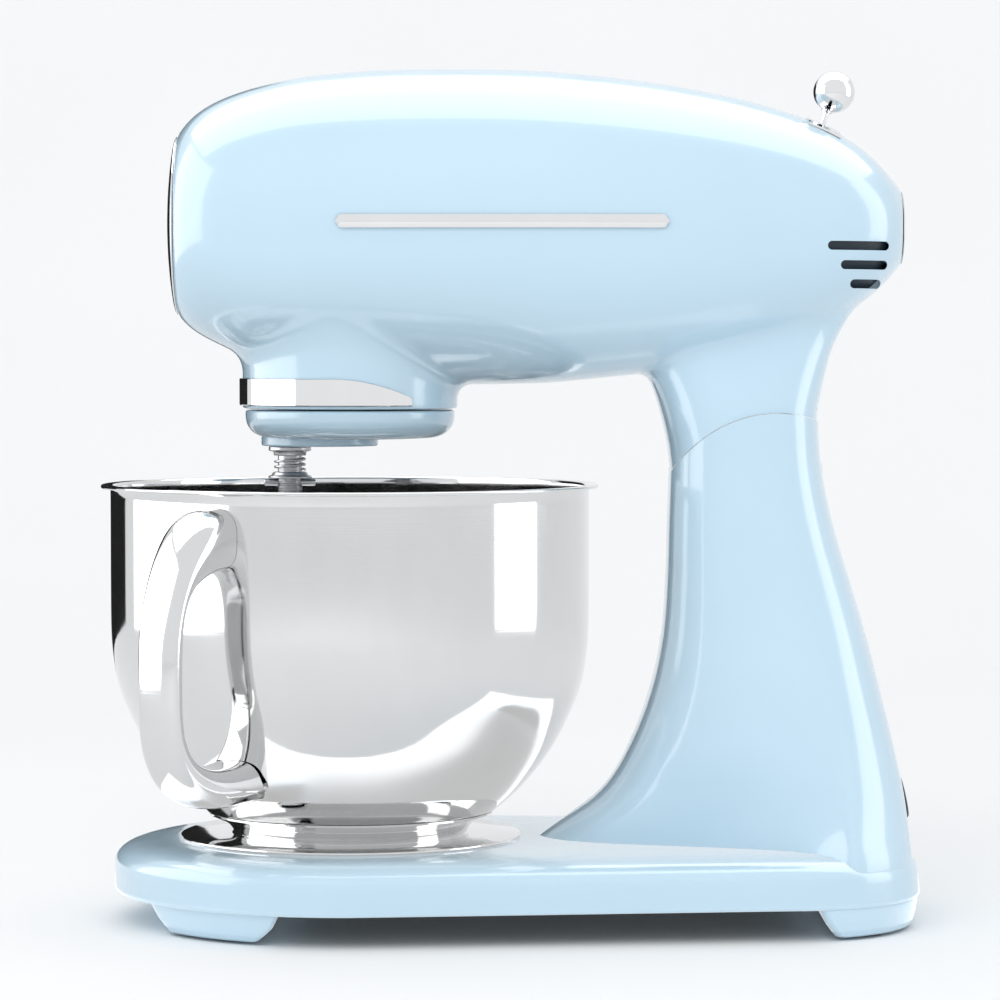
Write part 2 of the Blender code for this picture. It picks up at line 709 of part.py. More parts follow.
cut(arm, cylinder("lever_eye", 2.4, -10, 10, 14), lever, LEVER_PIVOT, (0, math.radians(90) + LEVER_LEAN, 0))
add(arm, lever, "chrome_trim", LEVER_PIVOT, lean)
ball = [(KNOB_RADIUS * math.sin(math.radians(a)), LEVER_REACH + KNOB_RADIUS * math.cos(math.radians(a)))
        for a in range(0, 170, 18)]
neck_z = LEVER_REACH - KNOB_RADIUS
ball += [(2.6, neck_z - 0.2), (1.7, neck_z - 0.2), (1.7, neck_z + 4.4), (0, neck_z + 4.4)]
add(lathe("lever_knob", ball, 18), lever, "chrome_trim", LEVER_PIVOT, lean)

# Control board beside the lever
board = box("control_board", (150, -0.8, 284), (186, 0.8, 346))
for i, (x, z, wide, tall, thick) in enumerate((
        (156, 328, 12, 12, 9), (172, 330, 9, 9, 12), (158, 306, 16, 9, 6), (174, 298, 8, 20, 5), (156, 290, 9, 8, 14))):
    join(board, box("component_%d" % i, (x, 0.2, z), (x + wide, 0.8 + thick, z + tall)), head)
add(board, head, "board_green")


# ---------------------------------------------------------------- gear train and motor

frame_plan = arc((0, 0), 43.2, 36, 324, 19) + [(78, -23.5), (96, -18.0), (96, 18.0), (78, 23.5)]
gear_frame = prism("gear_frame", frame_plan, 249.8, 252.8)
join(gear_frame, prism("motor_plate", ((22, -38), (108, -38), (108, 38), (22, 38)), 273.5, 276.5), head)
for side, y in (("left", 19), ("right", -19)):
    join(gear_frame, cylinder("post_" + side, 4.0, 251, 275, 12), head, (71, y, 0))
cut(gear_frame, cylinder("frame_main_hole", 13.5, 240, 260, 28), head)
cut(gear_frame, cylinder("frame_lay_hole", 4.5, 240, 290, 18), head, (LAY_X, 0, 0))
cut(gear_frame, cylinder("frame_motor_hole", 9.6, 260, 290, 24), head, (MOTOR_X, 0, 0))
add(gear_frame, head, "cast_aluminium")
add(ring("main_bearing", 7.4, 13.0, 246.5, 254.5, 28), head, "turned_steel")

ring_inside = gear_outline(RING_TEETH, COARSE_MODULE, 1.2, 0.9, -0.28)
ring_gear = cylinder("ring_gear", 44.6, 232.0, 240.0, 44)
cut(ring_gear, prism("ring_teeth", ring_inside, 225, 245), head)
add(ring_gear, head, "gear_steel")

can = lathe("motor_can", (
    (5.2, 351), (33, 351), (35, 349), (35, 277), (5.2, 277), (5.2, 279.2), (32.8, 279.2),
    (32.8, 348.8), (5.2, 348.8)), 20, closed=True)
add(can, head, "turned_steel", (MOTOR_X, 0, 0))
stator = ring("motor_stator", 20.6, 32.0, 290, 334, 20)
for i in range(6):
    turn = math.radians(60 * i)
    cut(stator, box("stator_slot_%d" % i, (18, -2.5, 280), (28, 2.5, 345)), head, (MOTOR_X, 0, 0), (0, 0, turn))
add(stator, head, "copper_winding", (MOTOR_X, 0, 0))

motor_at = (MOTOR_X, 0, 0)
add(cylinder("rotor_shaft", 3.0, 264, 354, 14, 0.4), rotor, "turned_steel", motor_at)
add(ring("rotor_core", 3.4, 19.8, 292, 332, 20), rotor, "gear_steel", motor_at)
fan = ring("motor_fan", 3.4, 8.0, 337, 345, 20)
for i in range(7):
    turn = math.radians(360 / 7 * i)
    blade = box("fan_blade_%d" % i, (6, -0.8, 338), (27, 0.8, 344))
    join(fan, blade, rotor, motor_at, (math.radians(0), 0, turn))
add(fan, rotor, "dark_plastic", motor_at)
FINE_PINION = gear_outline(MOTOR_TEETH, FINE_MODULE, 0.9, 1.25, 0.28, (0.35, 0.7), 0.5)
motor_pinion = wheel("motor_pinion", FINE_PINION, 265, 271, 3.4, rotor)
add(motor_pinion, rotor, "gear_steel", motor_at)

lay_at = (LAY_X, 0, 0)
add(cylinder("lay_shaft", 4.0, 248, 277, 16, 0.4), layshaft, "turned_steel", lay_at)
COARSE_PINION = gear_outline(LAY_PINION_TEETH, COARSE_MODULE, 0.9, 1.25, 0.28, (0.35, 0.7), 0.5)
add(wheel("lay_pinion", COARSE_PINION, 256, 262, 4.4, layshaft), layshaft, "gear_steel", lay_at)
FINE_WHEEL = gear_outline(LAY_TEETH, FINE_MODULE, 0.85, 1.25, 0.28)
add(wheel("lay_gear", FINE_WHEEL, 265, 271, 4.4, layshaft), layshaft, "bronze", lay_at)

# Planetary: the dish under the boss, its shaft and the wheel that drives it
dish = lathe("planetary_dish", (
    (0, 230.6), (13, 230.6), (13, 227.8), (46.0, 227.8), (46.8, 227.0), (46.8, 224.0), (46.0, 220.6),
    (43.4, 217.4), (40.0, 215.6), (36.0, 215.0), (0, 215.0)), 32)
join(dish, cylinder("low_disc", 26.2, 211.5, 216, 24, 0.7), planetary, (-13.6, 0, 0))
cut(dish, cylinder("dish_bore", 7.4, 219, 240, 24), planetary)
cut(dish, cylinder("bush_bore", 9.3, 214.0, 240, 24), planetary, (-TOOL_OFFSET, 0, 0))
cut(dish, cylinder("shaft_bore", 6.3, 200, 220, 24), planetary, (-TOOL_OFFSET, 0, 0))
add(dish, planetary, "pastel_enamel")
add(cylinder("main_shaft", 7.0, 219.3, 263.5, 24, 0.5), planetary, "turned_steel")
MAIN_WHEEL = gear_outline(MAIN_TEETH, COARSE_MODULE, 0.85, 1.25, 0.28)
add(wheel("main_gear", MAIN_WHEEL, 256, 262, 7.5, planetary), planetary, "gear_steel")
add(ring("spindle_bush", 6.1, 8.9, 214.4, 227.4, 24), planetary, "bronze", (-TOOL_OFFSET, 0, 0))

# Tool spindle with its washer, spring, collar and cross pin
tool_at = (-TOOL_OFFSET, 0, 0)
shaft = lathe("tool_shaft", (
    (0, 228.0), (5.4, 228.0), (5.7, 227.7), (5.7, 212.0), (5.4, 211.6), (5.4, 189.6), (4.2, 188.0), (0, 188.0)), 20)
cut(shaft, cylinder("pin_bore", 2.0, -15, 15, 14), spindle, (-TOOL_OFFSET, 0, 195.2), quarter_y)
add(shaft, spindle, "turned_steel", tool_at)
add(cylinder("tool_journal", 4.0, 228.3, 243.0, 20, 0.4), spindle, "turned_steel", tool_at)
TOOL_PINION = gear_outline(TOOL_TEETH, COARSE_MODULE, 0.9, 1.2, 0.28, (0.35, 0.7))
add(wheel("tool_pinion", TOOL_PINION, 232, 240, 4.4, spindle), spindle, "gear_steel", tool_at)
washer = lathe("tool_washer", (
    (9.0, 211.2), (9.5, 210.7), (9.5, 209.4), (7.4, 208.9), (7.2, 207.2), (5.7, 207.2), (5.7, 211.2)),
    24, closed=True)
add(washer, spindle, "turned_steel", tool_at)
cross_pin = cylinder("cross_pin", 1.6, -11.4, 11.4, 14, 0.3)
add(cross_pin, spindle, "turned_steel", (-TOOL_OFFSET, 0, 195.2), quarter_y)

SPRING_TOP = 206.2
SPRING_BOTTOM = 200.9
SPRING_TURNS = 2.25
coil = bpy.data.curves.new("tool_spring", "CURVE")
coil.dimensions = "3D"
coil.bevel_depth = 0.55 * MM
coil.bevel_resolution = 2
coil.use_fill_caps = True
line = coil.splines.new("POLY")
links = int(SPRING_TURNS * 12)
line.points.add(links)
for i in range(links + 1):
    angle = math.tau * SPRING_TURNS * i / links
    z = SPRING_BOTTOM + (SPRING_TOP - SPRING_BOTTOM) * i / links
    line.points[i].co = (6.6 * math.cos(angle) * MM, 6.6 * math.sin(angle) * MM, z * MM, 1)
add(bpy.data.objects.new("tool_spring", coil), spindle, "turned_steel", tool_at)

sleeve = lathe("spring_collar", (
    (6.9, 200.0), (7.6, 199.6), (8.2, 198.6), (9.8, 197.9), (9.8, 197.2), (5.8, 197.2), (5.8, 200.0)),
    24, closed=True)
add(sleeve, collar, "turned_steel", tool_at)


# ---------------------------------------------------------------- bowl

def bowl_profile(offset):
    """The outside of the bowl moved out by offset along each slope."""
    moved = []
    for i, (r, z) in enumerate(BOWL_OUTSIDE):
        before = BOWL_OUTSIDE[max(i - 1, 0)]
        after = BOWL_OUTSIDE[min(i + 1, len(BOWL_OUTSIDE) - 1)]
        run = Vector((after[0] - before[0], after[1] - before[1])).normalized()
        moved.append((r - run.y * offset, z + run.x * offset))
    return moved


inside = bowl_profile(-BOWL_WALL)
inside[0] = (inside[0][0], 193.4)
shell_profile = [(106.4, RIM_TOP), (110.6, RIM_TOP), (RIM_RADIUS, RIM_TOP - 0.5), (RIM_RADIUS, RIM_TOP - 1.1),
                 (110.6, RIM_TOP - 1.5), (106.9, RIM_TOP - 1.5)]
shell_profile += list(BOWL_OUTSIDE)[1:] + [(0, 48.7), (0, 50.2), (62.6, 50.2)]
shell_profile += list(reversed(inside))[1:]
bowl_shell = lathe("bowl_shell", shell_profile, 38, closed=False)
last = len(shell_profile) - 1
bowl_shell.data.clear_geometry()
points = [(r * MM, 0.0, z * MM) for r, z in shell_profile]
links = [(i, i + 1) for i in range(last) if i != shell_profile.index((0, 48.7))]
bowl_shell.data.from_pydata(points, links + [(last, 0)], [])
add(bowl_shell, bowl, "polished_steel")

foot_profile = (
    (64.2, 48.3), (63.6, 47.2), (56.8, 44.6), (53.0, 41.0), (51.8, 38.3), (76.0, 38.2), (76.0, 37.1),
    (49.0, 37.1), (50.4, 41.6), (55.4, 46.4), (60.0, 48.3))
add(lathe("bowl_foot", foot_profile, 36, closed=True), bowl, "polished_steel")

rings = []
for outer_r, outer_z, inner_r, inner_z, width in HANDLE:
    middle = Vector(((outer_r + inner_r) / 2, (outer_z + inner_z) / 2))
    across = Vector(((outer_r - inner_r) / 2, (outer_z - inner_z) / 2))
    section = rounded(1.0, 1.0, 3.4, 12)
    loop = []
    for u, v in section:
        spot = middle + across * u
        loop.append((spot.x, v * width / 2, spot.y))
    rings.append(loop)
handle = loft("bowl_handle", rings)
envelope = [(0, 200)] + [(r, 200 if i == 0 else z) for i, (r, z) in enumerate(bowl_profile(0.35))] + [(0, 48)]
cut(handle, lathe("bowl_envelope", envelope, 38), bowl, (0, 0, 0))
add(handle, bowl, "polished_steel", (0, 0, 0), (0, 0, HANDLE_TURN))
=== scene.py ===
"""Looks of the tilt-head stand mixer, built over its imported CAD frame.

Design positions are in millimetres from the bowl axis on the table; place() turns them into the row
frame through the bowl's own box.
"""

import json
import math

import bmesh
import bpy
import numpy as np
from mathutils import Matrix, Vector


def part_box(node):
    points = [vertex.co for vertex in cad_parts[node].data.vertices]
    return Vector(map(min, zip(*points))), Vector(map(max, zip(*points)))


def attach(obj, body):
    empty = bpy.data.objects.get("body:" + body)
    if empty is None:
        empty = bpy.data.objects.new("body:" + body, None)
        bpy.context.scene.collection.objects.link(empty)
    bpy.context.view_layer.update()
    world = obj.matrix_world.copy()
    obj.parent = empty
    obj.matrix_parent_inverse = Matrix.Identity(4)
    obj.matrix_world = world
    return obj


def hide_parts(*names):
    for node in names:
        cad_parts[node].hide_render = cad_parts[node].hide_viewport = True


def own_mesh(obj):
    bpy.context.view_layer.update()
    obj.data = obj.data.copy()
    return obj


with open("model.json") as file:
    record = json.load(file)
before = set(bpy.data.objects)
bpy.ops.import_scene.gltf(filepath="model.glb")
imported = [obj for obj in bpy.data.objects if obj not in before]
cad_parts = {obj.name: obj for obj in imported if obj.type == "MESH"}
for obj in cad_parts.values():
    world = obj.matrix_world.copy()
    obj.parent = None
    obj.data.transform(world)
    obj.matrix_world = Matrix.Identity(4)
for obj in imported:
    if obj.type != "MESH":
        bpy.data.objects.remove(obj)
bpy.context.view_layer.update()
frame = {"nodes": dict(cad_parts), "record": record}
nodes = frame["nodes"]

MM = 0.001
shell_low, shell_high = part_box("bowl_shell")
AXIS = (shell_low + shell_high) / 2
ORIGIN = Vector((AXIS.x, AXIS.y, 0.0))

PIVOT_X = 188.5
PIVOT_Z = 173.5
SEAM = 53.0
LEAN = math.radians(19.8)
LEVER_PIVOT = np.array((198.7, 0.0, 321.4))
NOSE_AT = (-76, 0, 309.8)
REAR_DISC_AT = (245.5, 0, 308.8)
BUTTON_AT = (210.4, 0, 199)
GLAND_AT = (248.6, 0, 54.0)
GLAND_TILT = math.radians(78.5)
TOOL_AT = (-27, 0, 0)
BOSS_RADIUS = 48

# ---------------------------------------------------------------- outlines

# Head: x, top z, bottom z, half width
HEAD_KEYS = np.array((
    (-76.0, 349.6, 270.1, 39.9),
    (-75.4, 351.6, 268.2, 41.9),
    (-73.5, 354.6, 265.6, 44.9),
    (-68.8, 359.2, 262.2, 49.1),
    (-58.0, 365.6, 256.6, 54.5),
    (-47.5, 369.6, 251.8, 58.0),
    (-26.5, 375.0, 245.4, 62.0),
    (0.0, 378.0, 241.2, 64.8),
    (37.0, 379.4, 239.0, 66.0),
    (83.6, 378.6, 239.4, 66.0),
    (109.5, 376.5, 241.6, 65.2),
    (148.0, 371.4, 246.2, 62.4),
    (173.6, 366.2, 252.2, 59.0),
    (197.0, 359.6, 259.6, 54.6),
    (211.0, 354.2, 265.2, 50.6),
    (221.0, 349.0, 270.2, 46.8),
    (231.6, 341.2, 277.6, 40.6),
    (240.6, 331.8, 285.9, 31.0),
    (245.0, 325.8, 291.6, 20.5),
    (245.6, 325.0, 292.4, 16.6),
))
ROUNDNESS = 2.15
BASE_REAR = 254.2
BASE_CORNER = 60.0
BASE_SIDE = 85.0

# Column: z, front x, rear x, half width, share of the flared foot
COLUMN_KEYS = np.array((
    (20.0, 60.0, 251.3, 56.0, 1.0),
    (30.0, 76.0, 250.7, 56.0, 1.0),
    (36.0, 84.0, 250.1, 56.0, 0.99),
    (43.5, 93.9, 249.1, 56.5, 0.84),
    (58.7, 113.6, 246.9, 57.0, 0.54),
    (81.2, 126.4, 242.0, 56.0, 0.24),
    (103.9, 134.6, 236.4, 52.8, 0.08),
    (126.8, 139.3, 230.6, 48.8, 0.005),
    (152.0, 141.2, 223.0, 45.8, 0.0),
    (178.0, 141.9, 215.2, 43.7, 0.0),
    (205.0, 142.8, 209.9, 42.2, 0.0),
    (236.0, 143.0, 208.5, 41.6, 0.0),
))
# Flared foot: share of the way from the front to the rear, half width
FOOT_FLARE = np.array((
    (0.0, 0.0, 0.0),
    (0.01, 6.0, 0.0),
    (0.03, 12.0, 0.0),
    (0.07, 20.0, 0.0),
    (0.13, 26.5, 0.0),
    (0.2, 31.5, 0.0),
    (0.3, 37.0, 0.0),
    (0.45, 44.5, 0.0),
    (0.6, 54.0, 0.0),
    (0.7, 62.5, 0.0),
    (0.77, 70.5, 0.0),
    (0.83, 79.0, 0.0),
    (1.0, 104.0, 0.0),
))
# Neck: z, front x, rear x, half width
NECK_KEYS = np.array((
    (196.0, 143.4, 209.4, 42.5),
    (205.0, 142.8, 208.8, 42.2),
    (216.0, 141.2, 208.2, 41.4),
    (226.0, 138.8, 208.4, 40.2),
    (236.0, 135.8, 210.2, 38.2),
    (246.0, 131.4, 212.6, 35.4),
    (254.0, 127.0, 214.8, 33.0),
    (262.0, 122.0, 218.4, 31.0),
    (270.0, 118.0, 223.0, 29.6),
    (282.0, 114.0, 228.0, 28.0),
))
COLUMN_POWER = 2.8


def spline(keys, samples):
    """Smooth rows through the keys, by chord length, with no overshoot."""
    keys = np.asarray(keys, float)
    step = np.sqrt((np.diff(keys[:, :3], axis=0) ** 2).sum(1))
    s = np.concatenate([[0], np.cumsum(step)])
    slope = np.diff(keys, axis=0) / step[:, None]
    tangent = np.zeros_like(keys)
    tangent[0] = slope[0]
    tangent[-1] = slope[-1]
    for i in range(1, len(keys) - 1):
        a, b = slope[i - 1], slope[i]
        w = step[i - 1] / (step[i - 1] + step[i])
        mean = a * (1 - w) + b * w
        limit = 3 * np.minimum(abs(a), abs(b))
        tangent[i] = np.where(a * b > 0, np.sign(mean) * np.minimum(abs(mean), limit), 0)
    at = np.linspace(0, s[-1], samples)
    k = np.clip(np.searchsorted(s, at, side="right") - 1, 0, len(step) - 1)
    h = step[k][:, None]
    t = ((at - s[k]) / step[k])[:, None]
    rows = (
        (2 * t**3 - 3 * t**2 + 1) * keys[k]
        + (t**3 - 2 * t**2 + t) * h * tangent[k]
        + (3 * t**2 - 2 * t**3) * keys[k + 1]
        + (t**3 - t**2) * h * tangent[k + 1]
    )
    return rows


def eased(rows, rounds):
    """Irons out small waves; both ends stay."""
    rows = rows.copy()
    for _ in range(rounds):
        rows[2:-2] = rows[2:-2] * 0.5 + (rows[1:-3] + rows[3:-1]) * 0.25
    return rows


HEAD = eased(spline(HEAD_KEYS, 260), 40)
COLUMN = eased(spline(COLUMN_KEYS, 200), 30)
FLARE = eased(spline(FOOT_FLARE * (100.0, 1.0, 1.0), 160), 20) / (100.0, 1.0, 1.0)
NECK = eased(spline(NECK_KEYS, 160), 30)


def rows_at(rows, key):
    return [np.interp(key, rows[:, 0], rows[:, i]) for i in range(1, rows.shape[1])]


def base_half(x, z):
    """Half width of the base near its rear."""
    centre = BASE_REAR - 0.1 * z - BASE_CORNER
    out = np.clip(x - centre, 0.0, BASE_CORNER)
    return BASE_SIDE - BASE_CORNER + np.sqrt(np.maximum(BASE_CORNER**2 - out**2, 0.0))


def column_plan(u, v, z):
    """Column outline at each height: rounded above, flared at the foot to the rear corners."""
    front, rear, half, share = rows_at(COLUMN, z)
    along = (u + 1) / 2
    x = front + along * (rear - front)
    flare = np.interp(along, FLARE[:, 0], FLARE[:, 1])
    edge = base_half(x + 0.4, z) - 0.4
    foot = flare - np.logaddexp(0, (flare - edge) / 2.0) * 2.0
    foot = np.maximum(foot, 0.0) * np.clip((1 - u) * 30, 0, 1) ** 0.5
    return x, (1 - share) * half * v + share * foot * np.sign(v) * np.clip(abs(v) * 1e6, 0, 1)


def seam_height(x, radius):
    """Height of the tilt seam's arc about the hinge."""
    return PIVOT_Z + np.sqrt(np.maximum(radius**2 - (x - PIVOT_X) ** 2, 1.0))


def seam_rings(seam, shares, radius):
    """Rings on the round seam face, shrinking from the seam towards its middle."""
    centre = np.array((176.0, 0.0))
    rings = []
    for share in shares:
        ring = seam.copy()
        ring[:, :2] = centre + (seam[:, :2] - centre) * share
        ring[:, 2] = seam_height(ring[:, 0], radius)
        rings.append(ring)
    return rings


def oval(count, power, start=0.0):
    angle = np.linspace(0, math.tau, count, endpoint=False) + start
    c, s = np.cos(angle), np.sin(angle)
    return np.sign(c) * abs(c) ** (2 / power), np.sign(s) * abs(s) ** (2 / power)


def under_head(x, y):
    """Height of the head's underside."""
    top, bottom, half = rows_at(HEAD, x)
    out = np.minimum(abs(y) / half, 0.999)
    return (top + bottom) / 2 - (top - bottom) / 2 * (1 - out**ROUNDNESS) ** (1 / ROUNDNESS)


def blend_rows(plan_at, start_z, size, guess=255.0, walls=30, bends=14):
    """Rings that climb a wall from start_z and bend out into the head's underside.

    plan_at gives the wall's x and y at each height; size is how far the bend reaches.
    """
    z = np.full(len(start_z), guess)
    for _ in range(30):
        x, y = plan_at(z)
        z = z * 0.4 + under_head(x, y) * 0.6
    x, y = plan_at(z)
    run = np.stack([np.roll(x, -1) - np.roll(x, 1), np.roll(y, -1) - np.roll(y, 1)], 1)
    run /= np.linalg.norm(run, axis=1)[:, None]
    out_x, out_y = run[:, 1], -run[:, 0]
    if (out_x * (x - x.mean()) + out_y * (y - y.mean())).sum() < 0:
        out_x, out_y = -out_x, -out_y

    def skin_at(reach):
        return np.stack([x + out_x * reach, y + out_y * reach,
                         under_head(x + out_x * reach, y + out_y * reach)], 1)

    end = skin_at(size)
    slope = (skin_at(size + 0.05) - skin_at(size - 0.05)) / 0.1
    corner_z = end[:, 2] - slope[:, 2] * size
    px, py = plan_at(corner_z)
    corner = np.stack([px, py, corner_z], 1)
    low_z = corner_z - size * 1.15
    px, py = plan_at(low_z)
    low = np.stack([px, py, low_z], 1)
    rows = []
    for s in np.linspace(0, 1, walls, endpoint=False):
        level = start_z + (low_z - start_z) * s
        px, py = plan_at(level)
        rows.append(np.stack([px, py, level], 1))
    for t in np.linspace(0, 1, bends):
        rows.append((1 - t) ** 2 * low + 2 * t * (1 - t) * corner + t * t * end)
    for reach, sink in ((0.6, 0.012), (1.4, 0.05), (2.4, 0.14), (4.0, 0.5), (5.5, 1.4)):
        row = skin_at(size + reach)
        row[:, 2] += sink
        rows.append(row)
    return rows


# ---------------------------------------------------------------- meshes

def place(points):
    return [(ORIGIN.x + p[0] * MM, ORIGIN.y + p[1] * MM, p[2] * MM) for p in points]


def new_mesh(name, points, faces, smooth_angle=35.0):
    mesh = bpy.data.meshes.new(name)
    mesh.from_pydata(place(points), [], faces)
    obj = bpy.data.objects.new(name, mesh)
    bpy.context.scene.collection.objects.link(obj)
    shape = bmesh.new()
    shape.from_mesh(mesh)
    bmesh.ops.recalc_face_normals(shape, faces=shape.faces)
    shape.to_mesh(mesh)
    shape.free()
    smooth(obj, smooth_angle)
    return obj


def smooth(obj, angle=35.0):
    mesh = obj.data
    mesh.polygons.foreach_set("use_smooth", [True] * len(mesh.polygons))
    shape = bmesh.new()
    shape.from_mesh(mesh)
    limit = math.radians(angle)
    for edge in shape.edges:
        edge.smooth = not (len(edge.link_faces) == 2 and edge.calc_face_angle(0.0) > limit)
    shape.to_mesh(mesh)
    shape.free()


def grid_faces(rows, columns, wrap=True, flip=False, base=0):
    faces = []
    for i in range(rows - 1):
        for j in range(columns if wrap else columns - 1):
            k = (j + 1) % columns
            quad = (base + i * columns + j, base + i * columns + k,
                    base + (i + 1) * columns + k, base + (i + 1) * columns + j)
            faces.append(quad[::-1] if flip else quad)
    return faces


def lofted(name, rings, caps=(True, True), smooth_angle=35.0):
    rings = [np.asarray(r, float) for r in rings]
    count = len(rings[0])
    points = np.concatenate(rings)
    faces = grid_faces(len(rings), count)
    if caps[0]:
        faces.append(tuple(range(count))[::-1])
    if caps[1]:
        faces.append(tuple(range(len(points) - count, len(points))))
    return new_mesh(name, points, faces, smooth_angle)


def turned(name, profile, steps=128, at=(0, 0, 0), turn=None):
    """A lathe piece about Z through at; turn is a rotation matrix applied first."""
    rings = []
    for i in range(steps):
        a = math.tau * i / steps
        rings.append([(r * math.cos(a), r * math.sin(a), z) for r, z in profile])
    points = np.array(rings).reshape(-1, 3)
    if turn is not None:
        points = points @ np.array(turn).T
    points = points + np.array(at)
    count = len(profile)
    faces = []
    for i in range(steps):
        k = (i + 1) % steps
        for j in range(count - 1):
            faces.append((i * count + j, k * count + j, k * count + j + 1, i * count + j + 1))
    obj = new_mesh(name, points, faces)
    shape = bmesh.new()
    shape.from_mesh(obj.data)
    bmesh.ops.remove_doubles(shape, verts=shape.verts, dist=1e-6)
    bmesh.ops.dissolve_degenerate(shape, edges=shape.edges, dist=1e-7)
    bmesh.ops.recalc_face_normals(shape, faces=shape.faces)
    shape.to_mesh(obj.data)
    shape.free()
    smooth(obj)
    return obj


def rounded_profile(points, radius, steps=4):
    """Rounds the inner corners of an open profile."""
    done = [points[0]]
    for before, corner, after in zip(points, points[1:], points[2:]):
        a, b, c = (np.array(q, float) for q in (before, corner, after))
        la, lc = np.linalg.norm(a - b), np.linalg.norm(c - b)
        cut = min(radius, la * 0.45, lc * 0.45)
        if cut < 0.02:
            done.append(tuple(b))
            continue
        p, q = b + (a - b) / la * cut, b + (c - b) / lc * cut
        for i in range(steps + 1):
            t = i / steps
            done.append(tuple((1 - t) ** 2 * p + 2 * t * (1 - t) * b + t * t * q))
    done.append(points[-1])
    return done


def cutter(name, points, faces):
    obj = new_mesh(name, points, faces)
    obj.hide_render = True
    return obj


def carve(target, tools):
    """Cuts each tool from target and applies the result."""
    for tool in tools:
        step = target.modifiers.new("cut", "BOOLEAN")
        step.object = tool
        step.operation = "DIFFERENCE"
        step.solver = "EXACT"
    graph = bpy.context.evaluated_depsgraph_get()
    mesh = bpy.data.meshes.new_from_object(target.evaluated_get(graph))
    target.modifiers.clear()
    target.data = mesh
    for tool in tools:
        bpy.data.objects.remove(tool)
    smooth(target)


def block(name, outline, low, high, matrix=None):
    """A prism cutter: an outline of (u, v) pushed along the third axis, in design space."""
    count = len(outline)
    points = [(u, v, w) for w in (low, high) for u, v in outline]
    if matrix is not None:
        points = [tuple(matrix @ Vector(p)) for p in points]
    faces = [tuple(range(count)), tuple(range(count, 2 * count))]
    for i in range(count):
        k = (i + 1) % count
        faces.append((i, k, count + k, count + i))
    return cutter(name, points, faces)


def arc(centre, radius, start, stop, count):
    angles = np.radians(np.linspace(start, stop, count))
    return [(centre[0] + radius * math.cos(a), centre[1] + radius * math.sin(a)) for a in angles]


# XZ outline pushed along Y
SIDEWAYS = Matrix(((1, 0, 0), (0, 0, 1), (0, 1, 0)))
# Outline turned to face along X
ALONG_X = Matrix(((0, 0, 1), (0, 1, 0), (-1, 0, 0)))
LEVER_TURN = Matrix.Rotation(LEAN, 3, "Y")


# ---------------------------------------------------------------- materials

# The noise textures' values mostly lie between these
NOISE_LOW = 0.3
NOISE_HIGH = 0.7


def shader(name):
    mat = bpy.data.materials.new(name)
    mat.use_nodes = True
    tree = mat.node_tree
    return mat, tree, tree.nodes["Principled BSDF"]


def noise(tree, scale, detail=3.0, rough=0.5, stretch=None):
    tex = tree.nodes.new("ShaderNodeTexNoise")
    tex.inputs["Scale"].default_value = scale
    tex.inputs["Detail"].default_value = detail
    tex.inputs["Roughness"].default_value = rough
    where = tree.nodes.new("ShaderNodeTexCoord")
    if stretch:
        mapping = tree.nodes.new("ShaderNodeMapping")
        mapping.inputs["Scale"].default_value = stretch
        tree.links.new(where.outputs["Object"], mapping.inputs["Vector"])
        tree.links.new(mapping.outputs["Vector"], tex.inputs["Vector"])
    else:
        tree.links.new(where.outputs["Object"], tex.inputs["Vector"])
    return tex


def ramp(tree, source, low, high):
    node = tree.nodes.new("ShaderNodeValToRGB")
    node.color_ramp.elements[0].position = NOISE_LOW
    node.color_ramp.elements[1].position = NOISE_HIGH
    node.color_ramp.elements[0].color = low
    node.color_ramp.elements[1].color = high
    tree.links.new(source, node.inputs["Fac"])
    return node.outputs["Color"]


def spread(tree, source, low, high):
    node = tree.nodes.new("ShaderNodeMapRange")
    node.inputs["From Min"].default_value = NOISE_LOW
    node.inputs["From Max"].default_value = NOISE_HIGH
    node.inputs["To Min"].default_value = low
    node.inputs["To Max"].default_value = high
    tree.links.new(source, node.inputs["Value"])
    return node.outputs["Result"]


def bump(tree, bsdf, source, strength, distance):
    node = tree.nodes.new("ShaderNodeBump")
    node.inputs["Strength"].default_value = strength
    node.inputs["Distance"].default_value = distance
    tree.links.new(source, node.inputs["Height"])
    tree.links.new(node.outputs["Normal"], bsdf.inputs["Normal"])


def grey(value):
    return (value, value, value, 1.0)


def shade(colour, factor):
    return (colour[0] * factor, colour[1] * factor, colour[2] * factor, 1.0)


def enamel(name, colour):
    mat, tree, bsdf = shader(name)
    cloud = noise(tree, 14.0, 2.0)
    tree.links.new(ramp(tree, cloud.outputs["Fac"], shade(colour, 0.985), shade(colour, 1.01)),
                   bsdf.inputs["Base Color"])
    fine = noise(tree, 60.0, 2.0)
    tree.links.new(spread(tree, fine.outputs["Fac"], 0.20, 0.26), bsdf.inputs["Roughness"])
    peel = noise(tree, 420.0, 2.0, 0.4)
    bump(tree, bsdf, peel.outputs["Fac"], 0.05, 0.0003)
    bsdf.inputs["IOR"].default_value = 1.5
    bsdf.inputs["Coat Weight"].default_value = 0.7
    bsdf.inputs["Coat Roughness"].default_value = 0.05
    bsdf.inputs["Coat IOR"].default_value = 1.5
    return mat


def polished(name, tone=0.72, low=0.06, high=0.1, wave=0.25):
    mat, tree, bsdf = shader(name)
    bsdf.inputs["Metallic"].default_value = 1.0
    smear = noise(tree, 26.0, 4.0, 0.6, (1, 1, 0.35))
    tree.links.new(ramp(tree, smear.outputs["Fac"], grey(tone * 0.975), grey(tone * 1.02)),
                   bsdf.inputs["Base Color"])
    tree.links.new(spread(tree, smear.outputs["Fac"], low, high), bsdf.inputs["Roughness"])
    lines = noise(tree, 90.0, 2.0, 0.5, (0.2, 0.2, 14.0))
    bump(tree, bsdf, lines.outputs["Fac"], wave * 0.1, 0.0002)
    return mat


